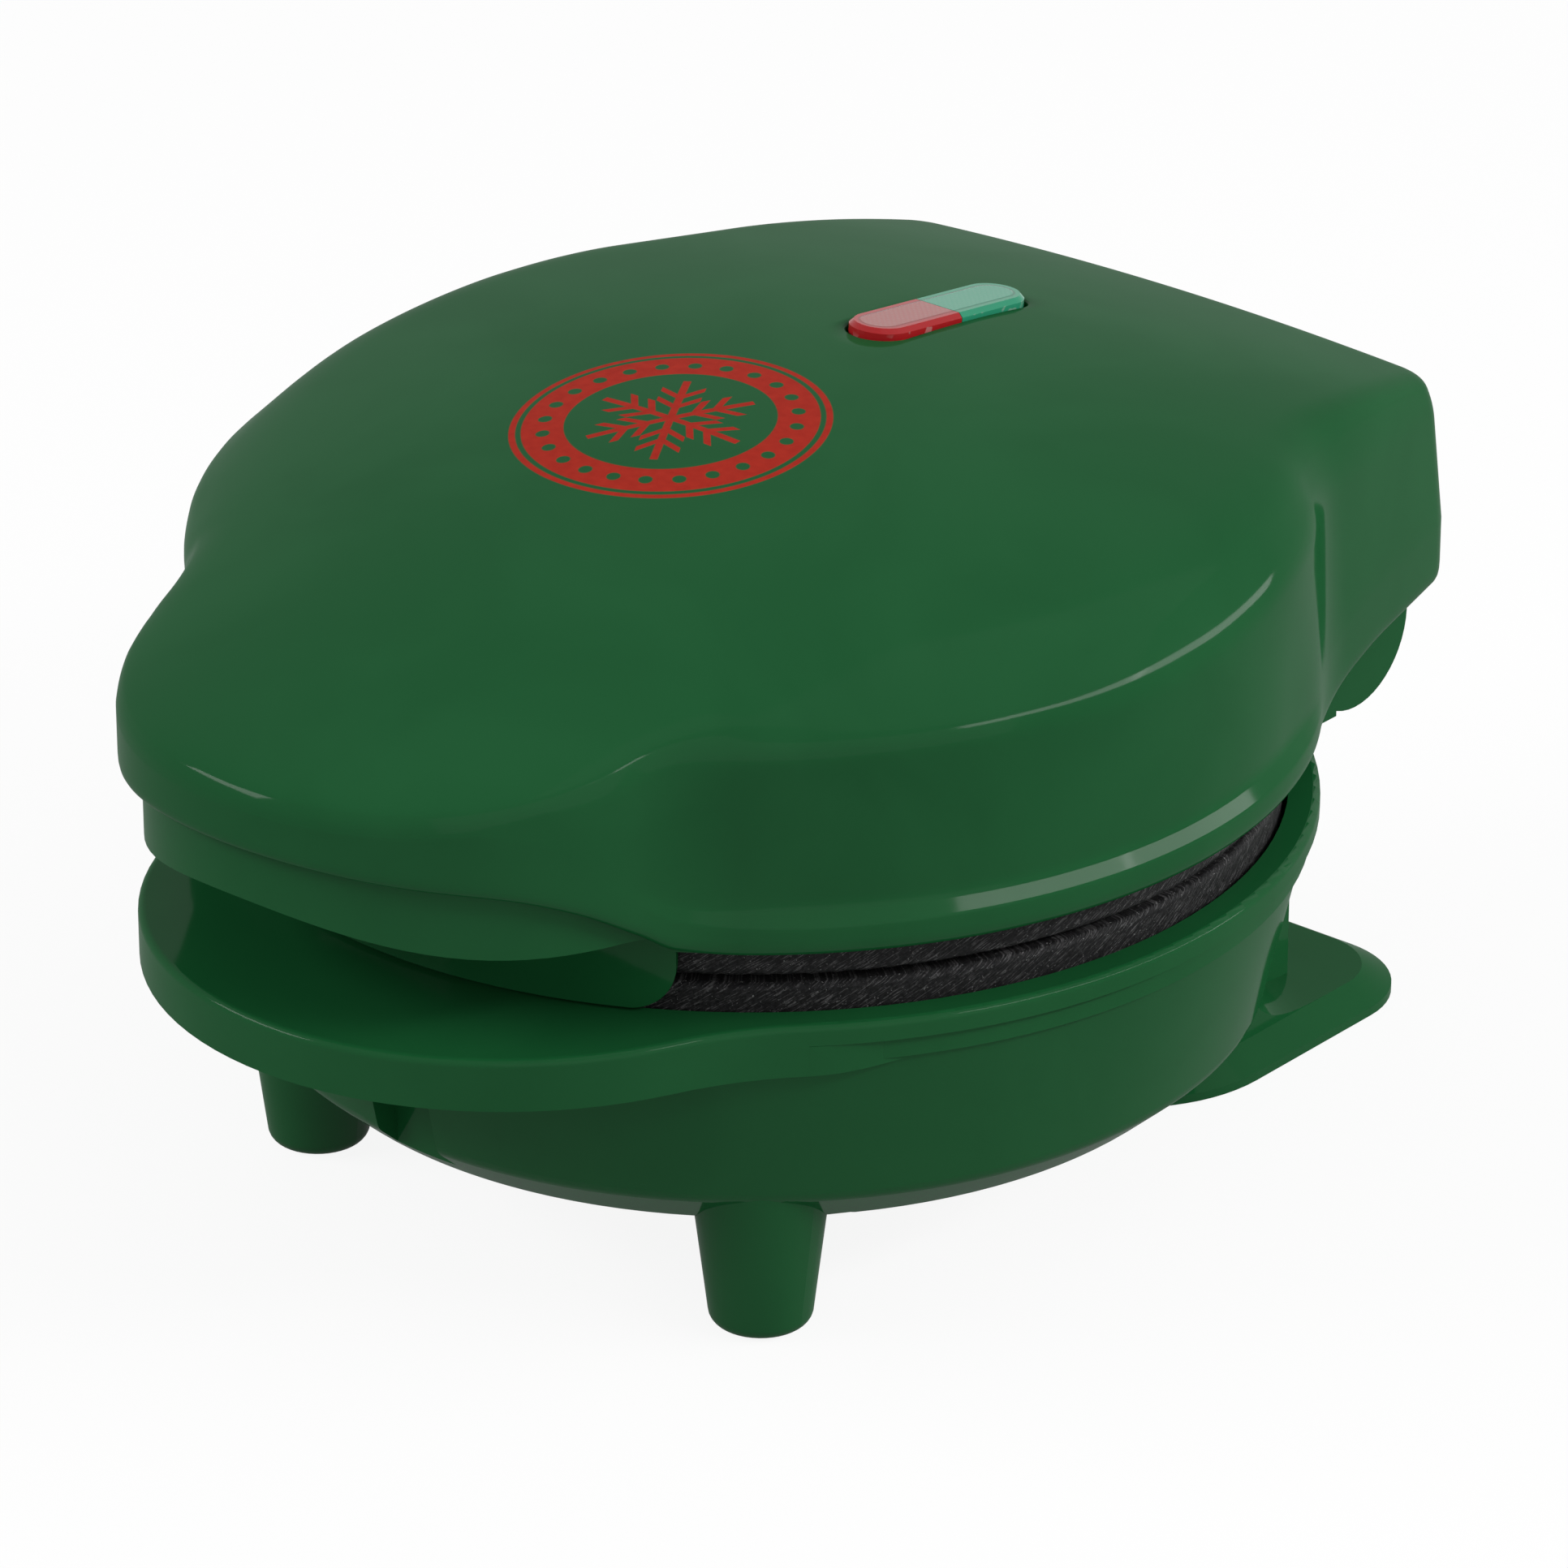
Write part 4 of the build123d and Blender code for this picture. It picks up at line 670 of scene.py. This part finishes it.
def lid_cover():
    """Closed shell round the lid's outline. Each column runs from the window's edge over the dome,
    round the shoulder's upper edge, down its band to the crease, down the wall and its lip, and
    back inside at one wall's thickness. Column place = outline - inset * outward direction."""
    plan, out = both_sides(*lid_plan(OUTLINE_STEP))
    columns = len(plan)
    y = plan[:, 1]
    edge_in = eased(y, EDGE_IN)
    crease_in = eased(y, CREASE_IN)
    edge_at = plan - out * edge_in[:, None]
    edge_z = dome_z(edge_at[:, 0], edge_at[:, 1])
    crease_z = np.minimum(eased(y, CREASE_Z), edge_z - BAND_LEAST)
    low_z = eased(y, LOW_Z)
    lip = eased(y, LIP_SHARE)

    def pair(inset, height):
        return np.stack((np.broadcast_to(inset, columns), np.broadcast_to(height, columns)), -1)

    def on_dome(inset):
        at = plan - out * inset[:, None]
        return pair(inset, dome_z(at[:, 0], at[:, 1]))

    edge = pair(edge_in, edge_z)
    crease = pair(crease_in, crease_z)
    band = np.linalg.norm(edge - crease, axis=-1)
    soft = np.minimum(EDGE_SHARE * band, EDGE_SOFT)
    room = CORNER_SHARE * (CORNER_R - CORNER_SPARE - edge_in).clip(CORNER_LEAST)
    top_soft = eased(y, TOP_SOFT)
    top_soft = np.where(y < CORNERS_FROM, top_soft, np.minimum(top_soft, room))
    ring_in = edge_in + top_soft
    upper = bend(on_dome(ring_in), edge, towards(edge, crease, soft), EDGE_ROWS)
    sharp = np.minimum(CREASE_SHARE * band, CREASE_SOFT)
    fit = ((crease_z - sharp - LIP_SPARE - low_z) / LIP_H).clip(LIP_LEAST, 1.0)
    lip_rows = np.stack(
        [pair(share * lip + plain, low_z + fit * rise) for share, plain, rise in LIP_ROWS]
    )
    wall_low = lip_rows[0]
    band_end = towards(crease, edge, sharp)
    lower = bend(band_end, crease, towards(crease, wall_low, sharp), CREASE_ROWS)
    share = np.linspace(0, 1, WALL_ROWS + 2)[1:-1, None, None]
    wall_rows = lower[-1] + (wall_low - lower[-1]) * share
    inner = np.stack(
        [
            pair(WALL, crease_z - INSIDE_CREASE_DROP),
            pair(np.maximum(edge_in, INSIDE_EDGE_IN), edge_z - INSIDE_EDGE_DROP),
            on_dome(ring_in) - (0, WALL),
        ]
    )
    rows = np.concatenate((upper, lower, wall_rows, lip_rows, inner))
    place = plan - out * rows[..., :1]
    skirt = np.concatenate((place, rows[..., 1:]), -1)

    slot_turn = np.arctan2(y - PILL_Y, plan[:, 0])
    slot_at = pill_edge(slot_turn, 0.0)
    slot_out = pill_edge(slot_turn, SLOT_SOFT)
    ring_at = plan - out * ring_in[:, None]
    shares = np.linspace(0, 1, TOP_ROWS + 1)[:-1, None, None] ** TOP_POWER
    top_at = slot_out + (ring_at - slot_out) * shares
    top = np.concatenate((top_at, dome_z(top_at[..., 0], top_at[..., 1])[..., None]), -1)
    slot_z = dome_z(slot_at[:, 0], slot_at[:, 1])
    mid_at = slot_at + (slot_out - slot_at) * SLOT_MID_SHARE
    slot_high = np.concatenate((slot_at, (slot_z - SLOT_SOFT)[:, None]), -1)
    slot_mid = np.concatenate((mid_at, (slot_z - SLOT_MID_DROP)[:, None]), -1)
    slot_low = np.concatenate((slot_at, (slot_z - WALL)[:, None]), -1)
    under = top[UNDER_ROWS] - (0, 0, WALL)
    grid = np.concatenate((slot_high[None], slot_mid[None], top, skirt, under, slot_low[None]))
    grid[..., 1] += AXIS_Y
    faces = grid_faces(len(grid), columns, close_rows=True).tolist()
    return piece("lid_cover", grid.reshape(-1, 3), faces, "lid", green_print)


def pill_edge(turn, grow):
    """Points of the window's slot outline at given directions from its middle."""
    radius = PILL_W / 2 + grow
    half = (PILL_LEN - PILL_W) / 2
    c, s = np.cos(turn), np.sin(turn)
    flat = radius / np.maximum(np.abs(c), 1e-9)
    on_side = flat * np.abs(s) <= half
    cap = half * np.abs(s) + np.sqrt(np.maximum(radius**2 - (half * c) ** 2, 0))
    reach = np.where(on_side, flat, cap)
    return np.stack((reach * c, reach * s + PILL_Y), -1)


cover = lid_cover()
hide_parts("lid_shell")

# Tapered ends of the skirt under the base's front tongue, in millimetres: the tongue's radius,
# how far its tip stays behind the lid's, and its blend; height of the skirt's lower edge and how
# far that rises; height of its top, which ends inside the deck's rim; how far it sinks into the
# body and how thick it is; its turn round the body, the share of it that starts inside the
# tongue, and its columns; the small slope on its top edge; and from where an edge is sharp
TONGUE_R = 39.2
TONGUE_BACK = 4.2
TONGUE_BLEND = 40.0
SKIRT_LOW = 35.0
SKIRT_RISE = 1.0
SKIRT_TOP = 38.4
SKIRT_SINK = 2.0
SKIRT_DEEP = 3.0
SKIRT_TURN = math.radians(17)
SKIRT_LEAD = 0.12
SKIRT_COLUMNS = 32
SLOPE_IN = 0.3
SLOPE_UP = 0.1
SLOPE_DOWN = 0.05
SHARP_DEG = 35


def skirt_end(name, side):
    """End of the tongue's skirt on one side. It follows the round body from where the tongue's
    blend meets it. Radius = body radius - sink * ease, and the height of its lower edge =
    low + rise * ease, where ease runs from 0 to 1 along the end."""
    x, y = blend_centre(TONGUE_R, FRONT - TONGUE_BACK, TONGUE_BLEND)
    share = np.linspace(-SKIRT_LEAD, 1.0, SKIRT_COLUMNS)
    turn = math.atan2(y, x) + SKIRT_TURN * share
    along = share.clip(0)
    ease = along * along * (3 - 2 * along)
    outer = BODY_R - SKIRT_SINK * ease
    inner = np.full_like(outer, BODY_R - SKIRT_DEEP)
    low = SKIRT_LOW + SKIRT_RISE * ease
    top = np.full_like(outer, SKIRT_TOP)
    crown = top + SLOPE_UP
    radius = np.stack((outer, inner, inner, outer - SLOPE_IN, outer), 1)
    height = np.stack((low, low, crown, crown, top - SLOPE_DOWN), 1)
    plan_x = side * radius * np.cos(turn)[:, None]
    plan_y = radius * np.sin(turn)[:, None] + AXIS_Y
    grid = np.stack((plan_x, plan_y, height), -1)
    rows, columns = height.shape
    ring = np.arange(columns)
    ends = [ring[::-1].tolist(), (ring + (rows - 1) * columns).tolist()]
    faces = [*grid_faces(rows, columns).tolist(), *ends]
    if side < 0:
        faces = [face[::-1] for face in faces]
    return piece(name, grid.reshape(-1, 3), faces, "base", green, SHARP_DEG)


skirt_end("skirt_end_right", 1)
skirt_end("skirt_end_left", -1)


# Floor and backdrop
def seen_rays(tree):
    """1 for rays of the camera and for those that reflections and clear pieces send on, 0 for
    others."""
    rays = tree.nodes.new("ShaderNodeLightPath")
    kinds = ("Is Camera Ray", "Is Glossy Ray", "Is Transmission Ray")
    camera_ray, glossy_ray, clear_ray = [Wire(tree, rays.outputs[kind]) for kind in kinds]
    return (camera_ray + glossy_ray + clear_ray).math("MINIMUM", 1.0)


WHITE = (1, 1, 1, 1)
# Floor: share of its own white where it is seen, and the grey that throws light back up; half
# its width and its drop under the feet, in metres
FLOOR_WHITE = 0.9
FLOOR_BOUNCE = (0.45, 0.45, 0.45, 1)
SPAN = 6.0
FLOOR_DROP = 0.0002
# Light from all round that isn't seen, as a share of the white that is
FILL = 0.4


def plain_floor():
    """White floor: mostly its own white where it is seen, with the object's shadow kept in the
    rest, and only a little light thrown back up at the object."""
    g = Graph("floor_white")
    seen = seen_rays(g.tree)
    tone = g.mix(seen, FLOOR_BOUNCE, WHITE)
    shade = g.node("ShaderNodeBsdfDiffuse", None, {"Color": tone})
    white = g.node("ShaderNodeEmission", None, {"Color": WHITE, "Strength": 1.0})
    both = g.node("ShaderNodeMixShader", None, (seen * FLOOR_WHITE, shade, white))
    g.node("ShaderNodeOutputMaterial", None, {"Surface": both})
    return g.material


floor_mesh = bpy.data.meshes.new("floor")
corners = [(-SPAN, -SPAN, 0), (SPAN, -SPAN, 0), (SPAN, SPAN, 0), (-SPAN, SPAN, 0)]
floor_mesh.from_pydata(corners, [], [(0, 1, 2, 3)])
floor_mesh.materials.append(plain_floor())
floor = bpy.data.objects.new("floor", floor_mesh)
floor.location.z = -FLOOR_DROP
bpy.context.scene.collection.objects.link(floor)

world = bpy.data.worlds.new("studio")
bpy.context.scene.world = world
world.use_nodes = True
tree = world.node_tree
tree.nodes.clear()
strength = FILL + (1 - FILL) * seen_rays(tree)
sky = Graph.link(tree, "ShaderNodeBackground", {}, {"Color": WHITE, "Strength": strength})
Graph.link(tree, "ShaderNodeOutputWorld", {}, {"Surface": sky})


def area(name, place, aim, width, height, power, run=(0, 0, 0)):
    """Rectangular lamp at place, in millimetres and watts, aimed at a point; its width lies along
    run, or level where run is left out."""
    lamp = bpy.data.lights.new(name, "AREA")
    lamp.shape = "RECTANGLE"
    lamp.size = width * MM
    lamp.size_y = height * MM
    lamp.energy = power
    made = bpy.data.objects.new(name, lamp)
    made.location = Vector(place) * MM
    axis = (Vector(place) - Vector(aim)).normalized()
    level = Vector((0, 0, 1)).cross(axis)
    wide = Vector(run) if any(run) else level
    wide = (wide - axis * wide.dot(axis)).normalized()
    made.rotation_mode = "QUATERNION"
    made.rotation_quaternion = Matrix((wide, axis.cross(wide), axis)).transposed().to_quaternion()
    bpy.context.scene.collection.objects.link(made)


# The strips stand where the lip's slope mirrors them to the camera, and run along its highlight
area("strip_front", (809, 203, 608), (57, -16, 52), 600, 130, 2.9, (-33, 549, -154))
area("strip_rear", (634, 682, 418), (60, 3, 52), 600, 130, 2.9, (-317, 410, -227))
area("handle_side", (-700, -760, 640), (0, 0, 60), 700, 250, 6.2)
area("broad_right", (1000, -500, 380), (0, 0, 50), 1200, 1200, 2.4)
area("high_back", (480, 360, 1040), (0, 0, 50), 1000, 1000, 1.0)
